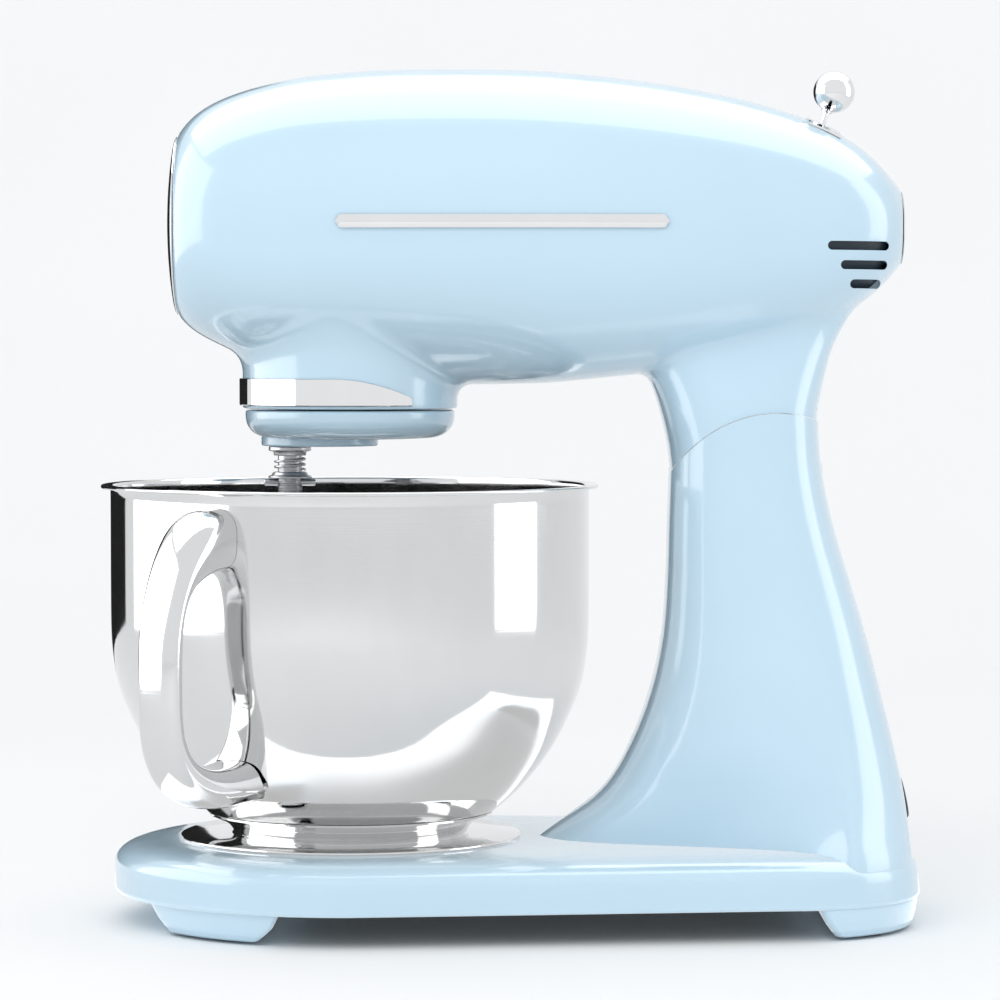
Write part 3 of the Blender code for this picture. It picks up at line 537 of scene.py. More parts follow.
def turned_metal(name, tone=(0.52, 0.52, 0.54), rough=0.28):
    mat, tree, bsdf = shader(name)
    bsdf.inputs["Metallic"].default_value = 1.0
    lines = noise(tree, 40.0, 3.0, 0.6, (1.0, 1.0, 45.0))
    tree.links.new(ramp(tree, lines.outputs["Fac"], shade(tone, 0.86), shade(tone, 1.1)),
                   bsdf.inputs["Base Color"])
    tree.links.new(spread(tree, lines.outputs["Fac"], rough - 0.06, rough + 0.08),
                   bsdf.inputs["Roughness"])
    bump(tree, bsdf, lines.outputs["Fac"], 0.25, 0.0002)
    return mat


def cast_metal(name, tone=(0.58, 0.59, 0.6)):
    mat, tree, bsdf = shader(name)
    bsdf.inputs["Metallic"].default_value = 1.0
    grain = noise(tree, 700.0, 4.0, 0.65)
    tree.links.new(ramp(tree, grain.outputs["Fac"], shade(tone, 0.8), shade(tone, 1.08)),
                   bsdf.inputs["Base Color"])
    tree.links.new(spread(tree, grain.outputs["Fac"], 0.42, 0.62), bsdf.inputs["Roughness"])
    bump(tree, bsdf, grain.outputs["Fac"], 0.4, 0.0004)
    return mat


def moulded(name, colour, rough=0.5, sheen=0.0, scale=900.0):
    mat, tree, bsdf = shader(name)
    grain = noise(tree, scale, 3.0, 0.55)
    tree.links.new(ramp(tree, grain.outputs["Fac"], shade(colour, 0.8), shade(colour, 1.2)),
                   bsdf.inputs["Base Color"])
    tree.links.new(spread(tree, grain.outputs["Fac"], rough - 0.08, rough + 0.1),
                   bsdf.inputs["Roughness"])
    bump(tree, bsdf, grain.outputs["Fac"], 0.25, 0.0002)
    if sheen:
        bsdf.inputs["Sheen Weight"].default_value = sheen
    return mat


def wound(name):
    """Lacquered copper wire laid side by side."""
    mat, tree, bsdf = shader(name)
    bsdf.inputs["Metallic"].default_value = 1.0
    where = tree.nodes.new("ShaderNodeTexCoord")
    wave = tree.nodes.new("ShaderNodeTexWave")
    wave.bands_direction = "Z"
    wave.inputs["Scale"].default_value = 260.0
    wave.inputs["Distortion"].default_value = 1.2
    tree.links.new(where.outputs["Object"], wave.inputs["Vector"])
    tree.links.new(ramp(tree, wave.outputs["Fac"], (0.18, 0.06, 0.02, 1), (0.62, 0.26, 0.1, 1)),
                   bsdf.inputs["Base Color"])
    bsdf.inputs["Roughness"].default_value = 0.35
    bump(tree, bsdf, wave.outputs["Fac"], 0.6, 0.0006)
    return mat


def circuit(name):
    mat, tree, bsdf = shader(name)
    where = tree.nodes.new("ShaderNodeTexCoord")
    cells = tree.nodes.new("ShaderNodeTexBrick")
    cells.inputs["Scale"].default_value = 160.0
    cells.inputs["Color1"].default_value = (0.015, 0.13, 0.06, 1)
    cells.inputs["Color2"].default_value = (0.02, 0.17, 0.07, 1)
    cells.inputs["Mortar"].default_value = (0.10, 0.32, 0.14, 1)
    cells.inputs["Mortar Size"].default_value = 0.012
    tree.links.new(where.outputs["Object"], cells.inputs["Vector"])
    tree.links.new(cells.outputs["Color"], bsdf.inputs["Base Color"])
    bsdf.inputs["Roughness"].default_value = 0.42
    return mat


ENAMEL = enamel("pastel_enamel_gloss", (0.52, 0.70, 0.82))
BOWL_STEEL = polished("bowl_polished_steel", 0.70, 0.05, 0.09)
CHROME = polished("bright_chrome", 0.78, 0.03, 0.06, 0.1)
TURNED = turned_metal("turned_steel_lathe")
GEAR = turned_metal("oiled_gear_steel", (0.40, 0.40, 0.42), 0.3)
BRONZE = turned_metal("bronze_bush", (0.62, 0.42, 0.2), 0.3)
CAST = cast_metal("cast_aluminium_grain")
RUBBER = moulded("black_rubber", (0.022, 0.022, 0.024), 0.72, 0.2)
PLASTIC = moulded("dark_moulded_plastic", (0.006, 0.018, 0.028), 0.5)
BOARD = circuit("circuit_board")
COPPER = wound("copper_winding_lacquer")
SLOT_MATERIAL = {
    "enamel": ENAMEL,
    "polished_steel": BOWL_STEEL,
    "chrome_trim": CHROME,
    "turned_steel": TURNED,
    "gear_steel": GEAR,
    "bronze": BRONZE,
    "cast_aluminium": CAST,
    "dark_rubber": RUBBER,
    "dark_plastic": PLASTIC,
    "board_green": BOARD,
    "copper_winding": COPPER,
}
NODE_SLOT = {row["node"]: row["material_slot"] for row in frame["record"]["subparts"]}


def finish_piece(obj, body, slot, replaced):
    """Gives a piece the material of its slot, hangs it under its body and hides the CAD nodes that it stands
    for.
    """
    obj.data.materials.clear()
    obj.data.materials.append(SLOT_MATERIAL[slot])
    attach(obj, body)
    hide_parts(*replaced)


# ---------------------------------------------------------------- head

def head_ring(row, count, inset=0.0):
    """One oval section of the head."""
    x, top, bottom, half = row
    u, v = oval(count, ROUNDNESS)
    height = (top - bottom) / 2 - inset
    return np.stack([np.full(count, x), u * (half - inset), (top + bottom) / 2 + v * height], 1)


def make_head():
    """The hollow head casing, with its slots, nose bore and boss opening."""
    count = 160
    outer = [head_ring(row, count) for row in HEAD[::2]]
    inner_rows = HEAD[(HEAD[:, 0] > -64) & (HEAD[:, 0] < 240)][::6]
    inner = [head_ring(row, count, 4.5) for row in inner_rows]
    points = np.concatenate(outer + inner)
    faces = grid_faces(len(outer), count)
    base = len(outer) * count
    faces.append(tuple(range(count))[::-1])
    faces.append(tuple(range(base - count, base)))
    faces += grid_faces(len(inner), count, True, True, base)
    faces.append(tuple(range(base, base + count)))
    faces.append(tuple(range(len(points) - count, len(points)))[::-1])
    mesh = bpy.data.meshes.new("head_casing")
    mesh.from_pydata(place(points), [], faces)
    shape = bmesh.new()
    shape.from_mesh(mesh)
    if shape.calc_volume(signed=True) < 0:
        bmesh.ops.reverse_faces(shape, faces=shape.faces)
    shape.to_mesh(mesh)
    shape.free()
    head = bpy.data.objects.new("head_casing", mesh)
    bpy.context.scene.collection.objects.link(head)
    tools = []
    for front, rear, z in ((209.4, 237.6, 299.9), (215.5, 237.4, 291.6), (220.3, 235.4, 283.4)):
        outline = arc((front + 1.95, z), 1.95, 90, 270, 11) + arc((rear - 1.95, z), 1.95, -90, 90, 11)
        for sign in (1, -1):
            tools.append(block("vent_tool", outline, sign * 12, sign * 90, SIDEWAYS))
    slot = arc((0, 15.6), 2.1, 0, 180, 11) + arc((0, -15.6), 2.1, 180, 360, 11)
    turn = Matrix.Translation(LEVER_PIVOT) @ LEVER_TURN.to_4x4()
    tools.append(block("lever_tool", slot, 24, 52, turn))
    bore = Matrix.Translation(NOSE_AT) @ ALONG_X.to_4x4()
    tools.append(block("hub_tool", arc((0, 0), 30.3, 0, 354, 60), -30, 30, bore))
    tools.append(block("boss_tool", arc((0, 0), 44.6, 0, 357, 120), 215, 262))
    carve(head, tools)
    return head


def neck_sheet():
    """From the tilt seam up into the head's underside."""
    count = 224
    u, v = oval(count, COLUMN_POWER, math.pi / count)
    cut = SEAM + 0.35

    def on_plan(z):
        front, rear, half = rows_at(NECK, z)
        return (front + rear) / 2 + u * (rear - front) / 2, v * half

    z = np.full(count, 215.0)
    for _ in range(12):
        x, y = on_plan(z)
        z = seam_height(x, cut)
    seam = np.stack([x, y, z], 1)
    loops = blend_rows(on_plan, z, 4.5)
    # Under the neck: the hollow round face that rides on the column
    under = seam_rings(seam, (0.985, 0.9, 0.75, 0.5, 0.25, 0.04), cut)
    return lofted("neck", under[::-1] + loops, (True, False), 40.0)


def boss_sheet():
    """The round boss under the nose, which bends out into the head's underside."""
    count = 192
    angle = np.linspace(0, math.tau, count, endpoint=False)
    c, s = np.cos(angle), np.sin(angle)
    loops = []
    # The inner wall and the rounded lip, then the outer wall
    for r, z in ((45.2, 252), (45.2, 229.6), (45.4, 229.0), (46.0, 228.5), (47.2, 228.4), (47.8, 228.8)):
        loops.append(np.stack([r * c, r * s, np.full(count, z)], 1))
    loops += blend_rows(lambda z: (BOSS_RADIUS * c, BOSS_RADIUS * s), np.full(count, 229.5), 7.0, 250.0, 8)
    return lofted("boss", loops, (False, False), 40.0)


head = make_head()
finish_piece(head, "head", "enamel", ("head_housing",))
neck = neck_sheet()
finish_piece(neck, "head", "enamel", ("head_housing",))
boss = boss_sheet()
finish_piece(boss, "head", "enamel", ("head_housing",))

# Tongue with the hinge eye
tongue_line = arc((PIVOT_X, PIVOT_Z), 63, 116, 134, 9) + arc((PIVOT_X, PIVOT_Z), 13, 150, 450, 37)
rings = []
for level, inset in ((-12, 0.8), (-11.2, 0.0), (11.2, 0.0), (12, 0.8)):
    centre = np.mean(tongue_line, axis=0)
    loop = [tuple(centre + (np.array(q) - centre) * (1 - inset / 40)) for q in tongue_line]
    rings.append([(x, level, z) for x, z in loop])
tongue = lofted("hinge_tongue", rings)
finish_piece(tongue, "head", "cast_aluminium", ("hinge_tongue",))


# ---------------------------------------------------------------- stand

def base_outline(inset, z, count_arc=120, count_corner=40):
    """Plan of the base: round in front, tapering to two large rear corners."""
    radius = 105.5 - inset
    corner = BASE_CORNER - inset
    rear = BASE_REAR - 0.1 * z - BASE_CORNER
    side = BASE_SIDE - BASE_CORNER
    points = arc((0, 0), radius, 88, 272, count_arc)
    reach = np.array(points[-1])
    join = np.array((rear, -BASE_SIDE + inset))
    middle = [tuple(reach + (join - reach) * t) for t in np.linspace(0.05, 0.95, 12)]
    points += middle
    points += arc((rear, -side), corner, -88, 0, count_corner)
    points += arc((rear, side), corner, 0, 88, count_corner)
    points += [(x, -y) for x, y in middle[::-1]]
    return points


# Deck edge: z, inset
DECK_KEYS = np.array((
    (14.0, 1.6, 0.0), (14.1, 0.9, 0.0), (14.8, 0.15, 0.0), (16.0, 0.0, 0.0), (22.0, 0.0, 0.0),
    (27.2, 0.1, 0.0), (29.6, 0.9, 0.0), (31.7, 2.7, 0.0), (33.4, 5.4, 0.0), (34.6, 8.6, 0.0),
    (35.6, 13.0, 0.0), (36.3, 19.0, 0.0), (36.7, 27.0, 0.0),
))


def make_deck():
    """The base's deck, recessed for the lock plate and hollow below."""
    rows = spline(DECK_KEYS, 44)
    loops = [[(x, y, z) for x, y in base_outline(inset, z)] for z, inset, _ in rows]
    deck = lofted("base_deck", loops, (True, True), 50.0)
    recess = [block("plate_tool", arc((0, 0), 46.6, 0, 357, 120), 33.6, 45)]
    under = base_outline(5.0, 14.0, 60, 10)
    recess.append(block("under_tool", under, 5, 31.5))
    carve(deck, recess)
    return deck


def foot_block(name, plans, levels):
    """A block lofted from plans at their levels."""
    loops = []
    for plan, z in zip(plans, levels):
        loops.append([(x, y, z) for x, y in plan])
    return lofted(name, loops, (True, True), 30.0)


def front_plan(radius, front, rear, corner=5.0):
    """Plan of the front foot block: a slice of a disc between two x values."""
    near = math.degrees(math.acos(rear / radius))
    far = math.degrees(math.acos(front / radius))
    raw = arc((0, 0), radius, near, far, 24) + arc((0, 0), radius, 360 - far, 360 - near, 24)
    return round_plan(raw, (0, 23, 24, 47), corner)


def round_plan(raw, corners, radius):
    """The plan with the listed corners rounded."""
    points = []
    for i, p in enumerate(raw):
        if i not in corners:
            points.append(p)
            continue
        p = np.array(p)
        a, c = np.array(raw[i - 1]), np.array(raw[(i + 1) % len(raw)])
        ra, rc = min(radius, np.linalg.norm(a - p) * 0.9), min(radius, np.linalg.norm(c - p) * 0.9)
        a = p + (a - p) / np.linalg.norm(a - p) * ra
        c = p + (c - p) / np.linalg.norm(c - p) * rc
        for t in np.linspace(0, 1, 6):
            points.append(tuple((1 - t) ** 2 * a + 2 * t * (1 - t) * p + t * t * c))
    return points


def rear_plan(inset, front):
    """Plan of the rear foot block: the base's two rear corners behind a straight front."""
    corner = BASE_CORNER - 1.2 - inset
    reach = BASE_REAR - 1.9 - 59.4
    side = BASE_SIDE - BASE_CORNER
    turn = math.degrees(math.acos(min((front + 3.5 - reach) / corner, 1.0)))
    plan = arc((reach, -side), corner, -turn, 0, 40) + arc((reach, side), corner, 0, turn, 40)
    edge = side + corner * math.sin(math.radians(turn))
    plan += arc((front + 3.5, edge - 3.5), 3.5, 90, 180, 6)
    plan += arc((front + 3.5, 3.5 - edge), 3.5, 180, 270, 6)
    return plan


def make_column():
    """The column up to the tilt seam, with its slot, button hole and inlet cut in."""
    count = 240
    u, v = oval(count, COLUMN_POWER, math.pi / count)
    z = np.full(count, 215.0)
    for _ in range(12):
        x, y = column_plan(u, v, z)
        z = seam_height(x, SEAM)
    seam = np.stack([x, y, z], 1)
    loops = []
    for s in np.linspace(0, 1, 120):
        rise = 22.0 + (seam[:, 2] - 22.0) * s
        x, y = column_plan(u, v, rise)
        loops.append(np.stack([x, y, rise], 1))
    top = seam_rings(seam, (0.996, 0.985, 0.9, 0.75, 0.5, 0.25, 0.04), SEAM)
    top[0][:, 2] -= 0.12
    column = lofted("column", loops + top, (True, True), 40.0)
    slot = arc((PIVOT_X, PIVOT_Z), 60, 139.4, 70.6, 14) + arc((PIVOT_X, PIVOT_Z), 14, 45, -205, 40)
    tools = [block("tongue_tool", slot, -13.5, 13.5, SIDEWAYS)]
    turn = Matrix.Translation(BUTTON_AT) @ ALONG_X.to_4x4()
    tools.append(block("button_tool", arc((0, 0), 6.9, 0, 350, 36), -14, 8, turn))
    turn = Matrix.Translation(GLAND_AT) @ Matrix.Rotation(GLAND_TILT, 4, "Y")
    tools.append(block("gland_tool", arc((0, 0), 7.1, 0, 350, 36), -16, 9, turn))
    tools.append(block("seat_tool", arc((0, 0), 9.9, 0, 354, 60), -2.6, 9, turn))
    carve(column, tools)
    return column


deck = make_deck()
finish_piece(deck, "stand", "enamel", ("stand_casting",))
column = make_column()
finish_piece(column, "stand", "enamel", ("stand_casting",))
front = foot_block("front_foot_block", (
    front_plan(97.0, -76.0, -37.0), front_plan(98.2, -77.3, -35.6), front_plan(101.0, -82.0, -30.0),
    front_plan(102.2, -85.0, -27.6), front_plan(102.5, -86.0, -27.0), front_plan(97.0, -85.0, -27.8)),
    (1.5, 2.3, 8.0, 13.0, 15.0, 33.1))
finish_piece(front, "stand", "enamel", ("stand_casting",))
rear = foot_block("rear_foot_block", (
    rear_plan(3.4, 212.0), rear_plan(2.4, 211.0), rear_plan(0.8, 207.0), rear_plan(0.1, 205.0),
    rear_plan(0.1, 204.0), rear_plan(5.3, 204.6)), (1.5, 2.3, 8.0, 13.0, 15.0, 33.1))
finish_piece(rear, "stand", "enamel", ("stand_casting",))
# The bowl mirrors the white studio, not the stand
for piece in (deck, column, front, rear, tongue):
    piece.visible_glossy = False


# ---------------------------------------------------------------- bowl

# Bowl wall: radius, z
WALL_KEYS = np.array((
    (106.9, 193.0, 0), (106.9, 160.0, 0), (106.8, 132.0, 0), (105.9, 118.7, 0), (103.1, 103.7, 0),
    (97.4, 90.0, 0), (91.6, 78.6, 0), (82.5, 66.0, 0), (74.5, 57.0, 0), (68.0, 51.4, 0), (66.2, 49.9, 0),
))
wall = eased(spline(WALL_KEYS, 90), 10)[:, :2]
inner_wall = []
for i in range(len(wall)):
    run = wall[min(i + 1, len(wall) - 1)] - wall[max(i - 1, 0)]
    run = run / np.linalg.norm(run)
    inner_wall.append((wall[i][0] + run[1] * 1.5, wall[i][1] - run[0] * 1.5))
rim = [(105.4, 193.2)] + [(105.4 + 0.9 * (1 - math.cos(a)), 193.2 + 1.25 * math.sin(a))
                          for a in np.linspace(0.3, 1.57, 6)]
rim += [(110.4, 194.45)] + arc((110.5, 193.75), 0.75, 85, -85, 9) + [(108.2, 193.0)]
profile = rim + [(107.3, 192.8), (106.95, 192.0)] + [tuple(p) for p in wall[3:]]
profile += [(65.0, 48.9), (63.4, 48.7), (58, 48.7), (30, 48.72), (0, 48.72)]
inside = [(0, 50.2), (30, 50.2), (56, 50.22), (61.5, 50.4), (64.0, 51.1)]
profile += inside + [tuple(p) for p in inner_wall[::-1][4:-3]] + [(105.4, 190.5), (105.4, 193.2)]
bowl = turned("mixing_bowl", profile, 224)
finish_piece(bowl, "bowl", "polished_steel", ("bowl_shell",))

foot_line = [
    (60.4, 48.35), (64.2, 48.35), (63.8, 47.4), (61.0, 46.2), (57.0, 44.6), (54.6, 42.8), (53.0, 40.8),
    (52.4, 39.2), (53.2, 38.5), (56, 38.3), (75.2, 38.2), (76.0, 37.9), (76.1, 37.5), (75.6, 37.15),
    (49.0, 37.1), (49.9, 40.0), (51.6, 42.8), (55.0, 45.6), (59.0, 47.4), (60.4, 48.35)]
foot = turned("bowl_foot_ring", foot_line, 192)
finish_piece(foot, "bowl", "polished_steel", ("bowl_foot",))

# Handle: outer radius and z, inner radius and z, width
HANDLE_KEYS = np.array((
    (106.0, 187.9, 106.0, 160.6, 27.8),
    (110.0, 187.7, 110.0, 160.2, 27.6),
    (116.5, 186.2, 115.6, 159.3, 26.8),
    (124.5, 180.8, 121.7, 157.0, 25.0),
    (133.5, 169.0, 128.6, 153.6, 23.0),
    (141.0, 152.0, 134.5, 147.0, 21.5),
    (145.3, 135.0, 137.2, 135.8, 20.8),
    (146.3, 115.0, 137.7, 115.0, 20.5),
    (145.9, 97.0, 137.2, 100.8, 20.5),
    (142.5, 81.0, 134.5, 89.9, 20.8),
    (133.9, 68.6, 127.0, 81.8, 21.5),
    (121.0, 61.2, 115.0, 77.5, 22.5),
    (105.0, 58.8, 102.0, 76.9, 23.4),
    (92.0, 59.0, 95.4, 77.6, 24.0),
    (80.0, 59.2, 91.4, 78.3, 24.4),
))
HANDLE_TURN = math.radians(238.0)


def handle_path():
    """Rows of middle r and z, 0, half reach in r and z, and width."""
    low = np.array([((a + c) / 2, (b + d) / 2, 0, (a - c) / 2, (b - d) / 2, w)
                    for a, b, c, d, w in HANDLE_KEYS])
    return eased(spline(low, 150), 14)


def make_handle():
    """The loop handle, pressed flat where it meets the bowl's wall."""
    count = 48
    loops = []
    c, s = math.cos(HANDLE_TURN), math.sin(HANDLE_TURN)
    power = 3.2
    u, v = oval(count, power)
    # A soft ridge along the outer face
    crown = np.where(u > 0.3, 1.0 - 0.13 * abs(v) ** 1.5, 1.0)
    for r, z, _, ar, az, width in handle_path():
        rr = r + ar * u * crown
        zz = z + az * u * crown
        side = v * width / 2
        reach = np.interp(zz, wall[::-1, 1], wall[::-1, 0]) + 0.15
        flat = np.sqrt(np.maximum(reach**2 - side**2, 0))
        rr = np.maximum(rr, flat)
        loops.append(np.stack([rr * c - side * s, rr * s + side * c, zz], 1))
    return lofted("bowl_loop_handle", loops, (True, True), 60.0)


handle = make_handle()
finish_piece(handle, "bowl", "polished_steel", ("bowl_handle",))


# ---------------------------------------------------------------- trims and small parts

QUARTER_NOSE = Matrix.Rotation(math.radians(-90), 3, "Y")
QUARTER_REAR = Matrix.Rotation(math.radians(90), 3, "Y")

cap_line = [(0, 4.9), (8, 4.8), (16, 4.35), (24, 3.65), (30, 2.95), (34.6, 2.3), (37.4, 1.8), (38.9, 1.4),
            (39.5, 1.0), (39.6, 0.6), (39.3, 0.3), (38.0, 0.3), (0, 0.3)]
cap = turned("nose_disc", cap_line, 192, NOSE_AT, QUARTER_NOSE)
finish_piece(cap, "nose_cap", "chrome_trim", ("nose_cap",))
disc_line = [(0, 2.2), (5, 2.1), (9, 1.8), (12.6, 1.35), (15.2, 0.95), (16.2, 0.7), (16.4, 0.5), (16.2, 0.32),
             (0, 0.3)]
disc = turned("rear_disc", disc_line, 128, REAR_DISC_AT, QUARTER_REAR)
finish_piece(disc, "head", "chrome_trim", ("rear_trim",))


def make_band():
    """Chrome band round the boss, both ends swept to a point."""
    loops = []
    start, stop, sweep_over = 54.5, 305.5, 42.0
    low, tall = 229.8, 12.0
    outer = 49.45
    for a in np.linspace(start, stop, 240):
        share = min(1.0, min(a - start, stop - a) / sweep_over)
        high = low + tall * (0.3 + 0.7 * math.sin(share * math.pi / 2) ** 0.9)
        c, s = math.cos(math.radians(a)), math.sin(math.radians(a))
        section = [(48.32, low + 0.3), (48.32, high - 0.3), (48.55, high), (outer - 0.3, high),
                   (outer, high - 0.35), (outer, low + 0.35), (outer - 0.3, low), (48.55, low)]
        loops.append([(r * c, r * s, z) for r, z in section])
    return lofted("boss_chrome_band", loops, (True, True), 30.0)


finish_piece(make_band(), "head", "chrome_trim", ("boss_band",))

dish_line = rounded_profile([
    (0, 230.4), (13, 230.4), (13, 227.8), (46.75, 227.8), (46.75, 224.2), (46.0, 220.9), (43.6, 217.7),
    (40.2, 215.8), (36.0, 215.0), (0, 215.0)], 2.2, 5)
dish = turned("planetary_dish_skin", dish_line, 192)
low_line = rounded_profile([(0, 216), (26.1, 216), (26.1, 211.6), (0, 211.6)], 1.0, 5)
low_disc = turned("planetary_low_disc", low_line, 128, (-13.6, 0, 0))
for piece in (dish, low_disc):
    tool = block("bore_tool", arc(TOOL_AT[:2], 6.4, 0, 350, 48), 200, 240)
    carve(piece, [tool])
finish_piece(dish, "planetary", "enamel", ("planetary_dish",))
finish_piece(low_disc, "planetary", "enamel", ("planetary_dish",))

tool_line = rounded_profile([
    (0, 228), (5.7, 228), (5.7, 211.8), (5.4, 211.4), (5.4, 189.4), (4.2, 188.0), (0, 188.0)], 0.35, 3)
shaft = turned("tool_spindle_shaft", tool_line, 72, TOOL_AT)
finish_piece(shaft, "tool_spindle", "turned_steel", ("tool_shaft",))
washer_line = rounded_profile([
    (5.75, 211.2), (9.5, 211.2), (9.5, 209.4), (7.4, 208.9), (7.2, 207.2), (5.75, 207.2), (5.75, 211.2)],
    0.3, 3)
washer = turned("tool_spindle_washer", washer_line, 96, TOOL_AT)
finish_piece(washer, "tool_spindle", "turned_steel", ("tool_washer",))
collar_line = rounded_profile([
    (5.8, 200.0), (6.9, 200.0), (7.6, 199.6), (8.2, 198.6), (9.8, 197.9), (9.8, 197.2), (5.8, 197.2),
    (5.8, 200.0)], 0.25, 3)
collar = turned("push_collar", collar_line, 96, TOOL_AT)
finish_piece(collar, "spring_collar", "turned_steel", ("spring_collar",))


def coil_mesh(name, radius, wire, low, high, turns, centre):
    """Round wire wound up about Z."""
    count = 16
    links = int(turns * 48)
    loops = []
    for i in range(links + 1):
        a = math.tau * turns * i / links
        z = low + (high - low) * i / links
        spot = np.array((radius * math.cos(a), radius * math.sin(a), z)) + centre
        out = np.array((math.cos(a), math.sin(a), 0))
        up = np.array((0, 0, 1.0))
        loops.append([spot + wire * (math.cos(t) * out + math.sin(t) * up)
                      for t in np.linspace(0, math.tau, count, endpoint=False)])
    return lofted(name, loops, (True, True), 60.0)


spring = coil_mesh("mixing_spring", 6.6, 0.55, 200.9, 206.2, 2.25, np.array(TOOL_AT))
finish_piece(spring, "tool_spindle", "turned_steel", ("tool_spring",))
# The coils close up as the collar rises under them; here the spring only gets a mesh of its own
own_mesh(spring)

knob_line = [(9.3 * math.sin(t), 50.9 + 9.3 * math.cos(t)) for t in np.radians(np.linspace(0, 164, 42))]
knob_line += [(2.5, 41.6), (2.1, 41.2), (1.7, 41.2), (1.7, 45.9), (0, 45.9)]
knob = turned("lever_ball", knob_line, 128, LEVER_PIVOT, LEVER_TURN)
finish_piece(knob, "speed_lever", "chrome_trim", ("lever_knob",))

button_line = rounded_profile([
    (0, 0.9), (3.6, 0.85), (5.3, 0.45), (6.2, -0.2), (6.4, -1.2), (6.4, -5.8), (3.0, -6.0), (3.0, -6.8),
    (0, -6.8)], 0.4, 3)
button = turned("release_push_button", button_line, 96, BUTTON_AT, QUARTER_REAR)
finish_piece(button, "release_button", "chrome_trim", ("release_button",))

gland_line = rounded_profile([
    (4.2, -0.8), (5.0, 0.1), (8.8, 0.1), (9.6, -0.6), (9.6, -2.2), (6.7, -2.3), (6.6, -8.0), (4.2, -8.0),
    (4.2, -0.8)], 0.3, 4)
gland = turned("cord_inlet", gland_line, 96, GLAND_AT, Matrix.Rotation(GLAND_TILT, 3, "Y"))
finish_piece(gland, "stand", "dark_rubber", ("cord_gland",))
for piece in (button, gland):
    piece.visible_glossy = False


def trim_bar(name, sign):
    """A slim raised bar that follows the side of the head."""
    loops = []
    front, rear, level = -4.0, 140.0, 310.0
    for x in np.linspace(front, rear, 120):
        end = min(x - front, rear - x)
        tall = 2.9 * math.sqrt(max(1 - max(1 - end / 2.9, 0) ** 2, 0.01))
        top, bottom, half = rows_at(HEAD, x)
        middle = (top + bottom) / 2
        loop = []
        for dz, off in ((-1, 0.55), (-1, 1.5), (-0.7, 2.0), (0, 2.1), (0.7, 2.0), (1, 1.5), (1, 0.55)):
            z = level + dz * tall
            rise = abs(z - middle) / ((top - bottom) / 2)
            y = half * (1 - rise**ROUNDNESS) ** (1 / ROUNDNESS) + off
            loop.append((x, sign * y, z))
        loops.append(loop)
    return lofted(name, loops, (True, True), 30.0)


finish_piece(trim_bar("side_bar_left", 1), "head", "chrome_trim", ("side_trim_left",))
finish_piece(trim_bar("side_bar_right", -1), "head", "chrome_trim", ("side_trim_right",))


def vent_lining(name, sign):
    """Dark moulded grille that follows the inside of the rear slots."""
    outer = []
    inset = 2.2
    for z in np.linspace(279.6, 303.6, 26):
        row = []
        for x in np.linspace(205.5, 240.2, 40):
            top, bottom, half = rows_at(HEAD, x + 1.6)
            middle, height = (top + bottom) / 2, (top - bottom) / 2 - inset
            level = middle + max(-0.96, min(0.96, (z - middle) / height)) * height
            rise = abs(level - middle) / height
            row.append((x, sign * (half - inset) * (1 - rise**ROUNDNESS) ** (1 / ROUNDNESS), level))
        outer.append(row)
    outer = np.array(outer)
    inner = outer - np.array((0.0, sign * 1.2, 0.0))
    rows, columns = outer.shape[:2]
    points = np.concatenate([outer.reshape(-1, 3), inner.reshape(-1, 3)])
    faces = grid_faces(rows, columns, False) + grid_faces(rows, columns, False, True, rows * columns)
    rim = list(range(columns)) + [i * columns + columns - 1 for i in range(1, rows)]
    rim += [(rows - 1) * columns + j for j in range(columns - 2, -1, -1)]
    rim += [i * columns for i in range(rows - 2, 0, -1)]
    for a, b in zip(rim, rim[1:] + rim[:1]):
        faces.append((a, b, rows * columns + b, rows * columns + a))
    return new_mesh(name, points, faces)


finish_piece(vent_lining("vent_lining_left", 1), "head", "dark_plastic", ("vent_grille_left",))
finish_piece(vent_lining("vent_lining_right", -1), "head", "dark_plastic", ("vent_grille_right",))


# ---------------------------------------------------------------- carried-over CAD nodes

BEVEL = {"foot_": 0.4, "gear_frame": 0.4, "base_cover": 0.3, "bowl_lock_plate": 0.3, "speed_plate": 0.15}
for name, obj in nodes.items():
    obj.data.materials.clear()
    obj.data.materials.append(SLOT_MATERIAL[NODE_SLOT[name]])
    width = 0.12
    for key, value in BEVEL.items():
        if name.startswith(key):
            width = value
    edge = obj.modifiers.new("edge", "BEVEL")
    edge.width = width * MM
    edge.segments = 2
    edge.limit_method = "ANGLE"
    edge.angle_limit = math.radians(40)
    edge.harden_normals = False
    if name.startswith(("hinge_", "foot_", "base_cover", "cord_gland", "lock_screw", "release_button")):
        obj.visible_glossy = False


# ---------------------------------------------------------------- floor, light, camera

def card(name, corners, colour, rough=0.9):
    mesh = bpy.data.meshes.new(name)
    mesh.from_pydata([Vector(c) for c in corners], [], [(0, 1, 2, 3)])
    obj = bpy.data.objects.new(name, mesh)
    bpy.context.scene.collection.objects.link(obj)
    mat, tree, bsdf = shader(name + "_surface")
    grain = noise(tree, 3.0, 2.0)
    tree.links.new(ramp(tree, grain.outputs["Fac"], shade(colour, 0.99), shade(colour, 1.0)),
                   bsdf.inputs["Base Color"])
    bsdf.inputs["Roughness"].default_value = rough
    bsdf.inputs["Specular IOR Level"].default_value = 0.1
    obj.data.materials.append(mat)
    return obj


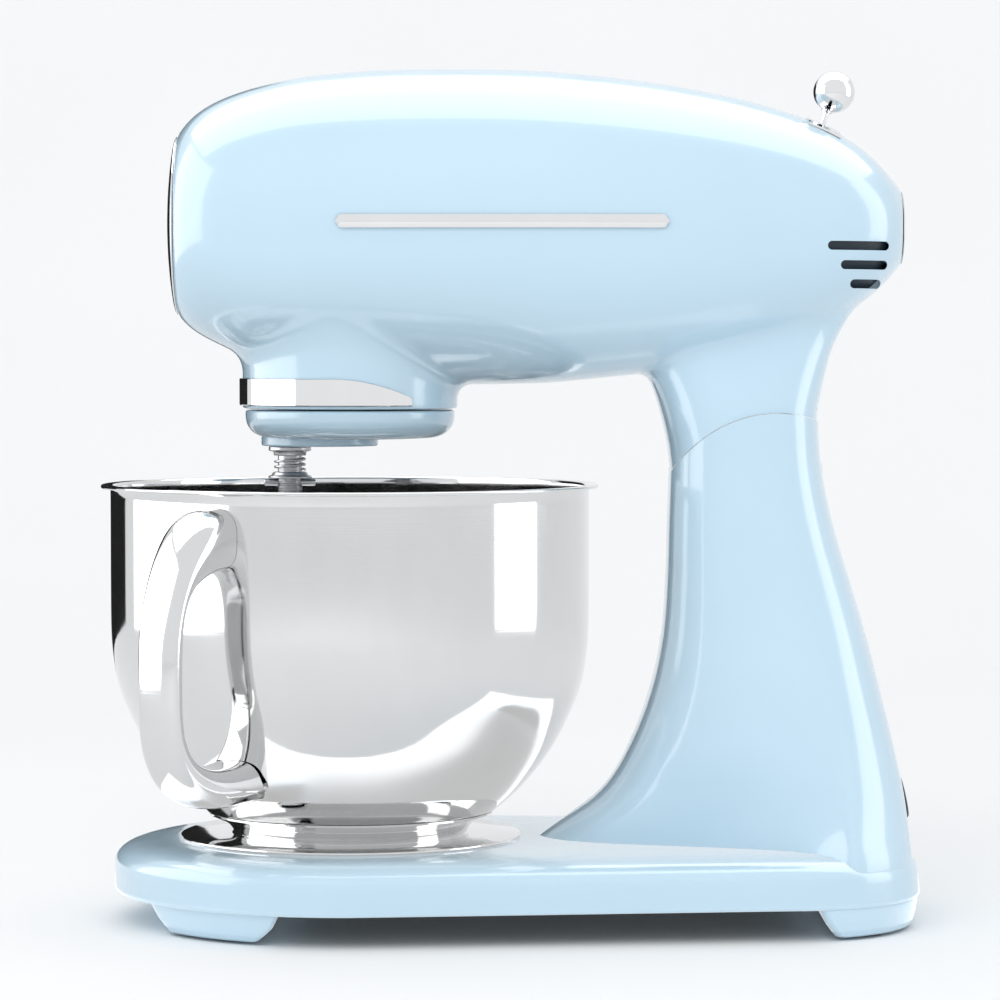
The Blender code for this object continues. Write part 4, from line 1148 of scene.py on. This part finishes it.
def sweep(name):
    """Floor that curves up into a pale backdrop."""
    outline = [(-4.0, 0.0), (1.2, 0.0)]
    outline += [(1.2 + 1.2 * math.sin(a), 1.2 - 1.2 * math.cos(a)) for a in np.linspace(0.1, 1.57, 16)]
    outline += [(2.4, 3.6)]
    points = [(x, y, z) for x in (-4.0, 4.0) for y, z in outline]
    count = len(outline)
    faces = [(i, i + 1, count + i + 1, count + i) for i in range(count - 1)]
    mesh = bpy.data.meshes.new(name)
    mesh.from_pydata(points, [], faces)
    mesh.polygons.foreach_set("use_smooth", [True] * len(mesh.polygons))
    obj = bpy.data.objects.new(name, mesh)
    bpy.context.scene.collection.objects.link(obj)
    mat, tree, bsdf = shader(name + "_surface")
    grain = noise(tree, 2.0, 2.0)
    tree.links.new(ramp(tree, grain.outputs["Fac"], grey(0.91), grey(0.93)), bsdf.inputs["Base Color"])
    bsdf.inputs["Roughness"].default_value = 0.95
    bsdf.inputs["Specular IOR Level"].default_value = 0.0
    obj.data.materials.append(mat)
    return obj


def area(name, at, to, size, power, colour=(1, 1, 1)):
    light = bpy.data.lights.new(name, "AREA")
    light.shape = "RECTANGLE"
    light.size = size[0]
    light.size_y = size[1]
    light.energy = power
    light.color = colour
    obj = bpy.data.objects.new(name, light)
    obj.location = at
    obj.rotation_euler = (Vector(to) - Vector(at)).to_track_quat("-Z", "Y").to_euler()
    bpy.context.scene.collection.objects.link(obj)
    return obj


def shine_only(obj):
    """A soft box that shows in reflections and leaves the even light alone."""
    obj.visible_diffuse = False
    obj.visible_camera = False
    obj.visible_transmission = False
    obj.visible_volume_scatter = False


def light_only(obj):
    """A lamp that lights surfaces without showing in them."""
    obj.visible_glossy = False
    obj.visible_camera = False


def panel(name, at, to, size, glow):
    """A reflected soft box with the given radiance."""
    light = area(name, at, to, size, glow * math.pi * size[0] * size[1])
    shine_only(light)
    return light


sweep("studio_floor")
panel("top_box", (0.05, 0.55, 1.55), (0.05, 0.55, 0.0), (3.0, 1.75), 2.6)
panel("left_box", (-1.5, -0.05, 0.75), (0.0, -0.05, 0.75), (1.8, 1.5), 2.4)
panel("right_box", (1.5, -0.12, 0.75), (0.0, -0.12, 0.75), (0.72, 1.5), 2.4)
panel("base_glow", (0.01, 0.008, 0.004), (0.01, 0.008, 1.0), (0.42, 0.26), 0.7)
light_only(area("key_front", (-0.5, -1.6, 1.5), (0.0, 0.0, 0.2), (1.4, 1.2), 9.0))
dark = card("dark_flag", ((-1.43, 1.2, 0.0), (-0.25, 1.2, 0.0), (-0.25, 1.2, 0.9), (-1.43, 1.2, 0.9)),
            (0.012, 0.012, 0.012))
dark.visible_camera = False
dark.visible_diffuse = False
dark.visible_shadow = False

world = bpy.data.worlds.new("studio_air")
world.use_nodes = True
world.node_tree.nodes["Background"].inputs["Color"].default_value = (0.97, 0.985, 1.0, 1)
world.node_tree.nodes["Background"].inputs["Strength"].default_value = 1.0
bpy.context.scene.world = world

camera_data = bpy.data.cameras.new("camera")
camera_data.lens = 144.0
camera_data.sensor_width = 36.0
camera = bpy.data.objects.new("camera", camera_data)
camera.location = (ORIGIN.x + 0.067, ORIGIN.y - 1.79, 0.256)
camera.rotation_euler = (math.radians(90 - 2.2), 0, 0)
bpy.context.scene.collection.objects.link(camera)
bpy.context.scene.camera = camera
bpy.context.scene.view_settings.view_transform = "Standard"
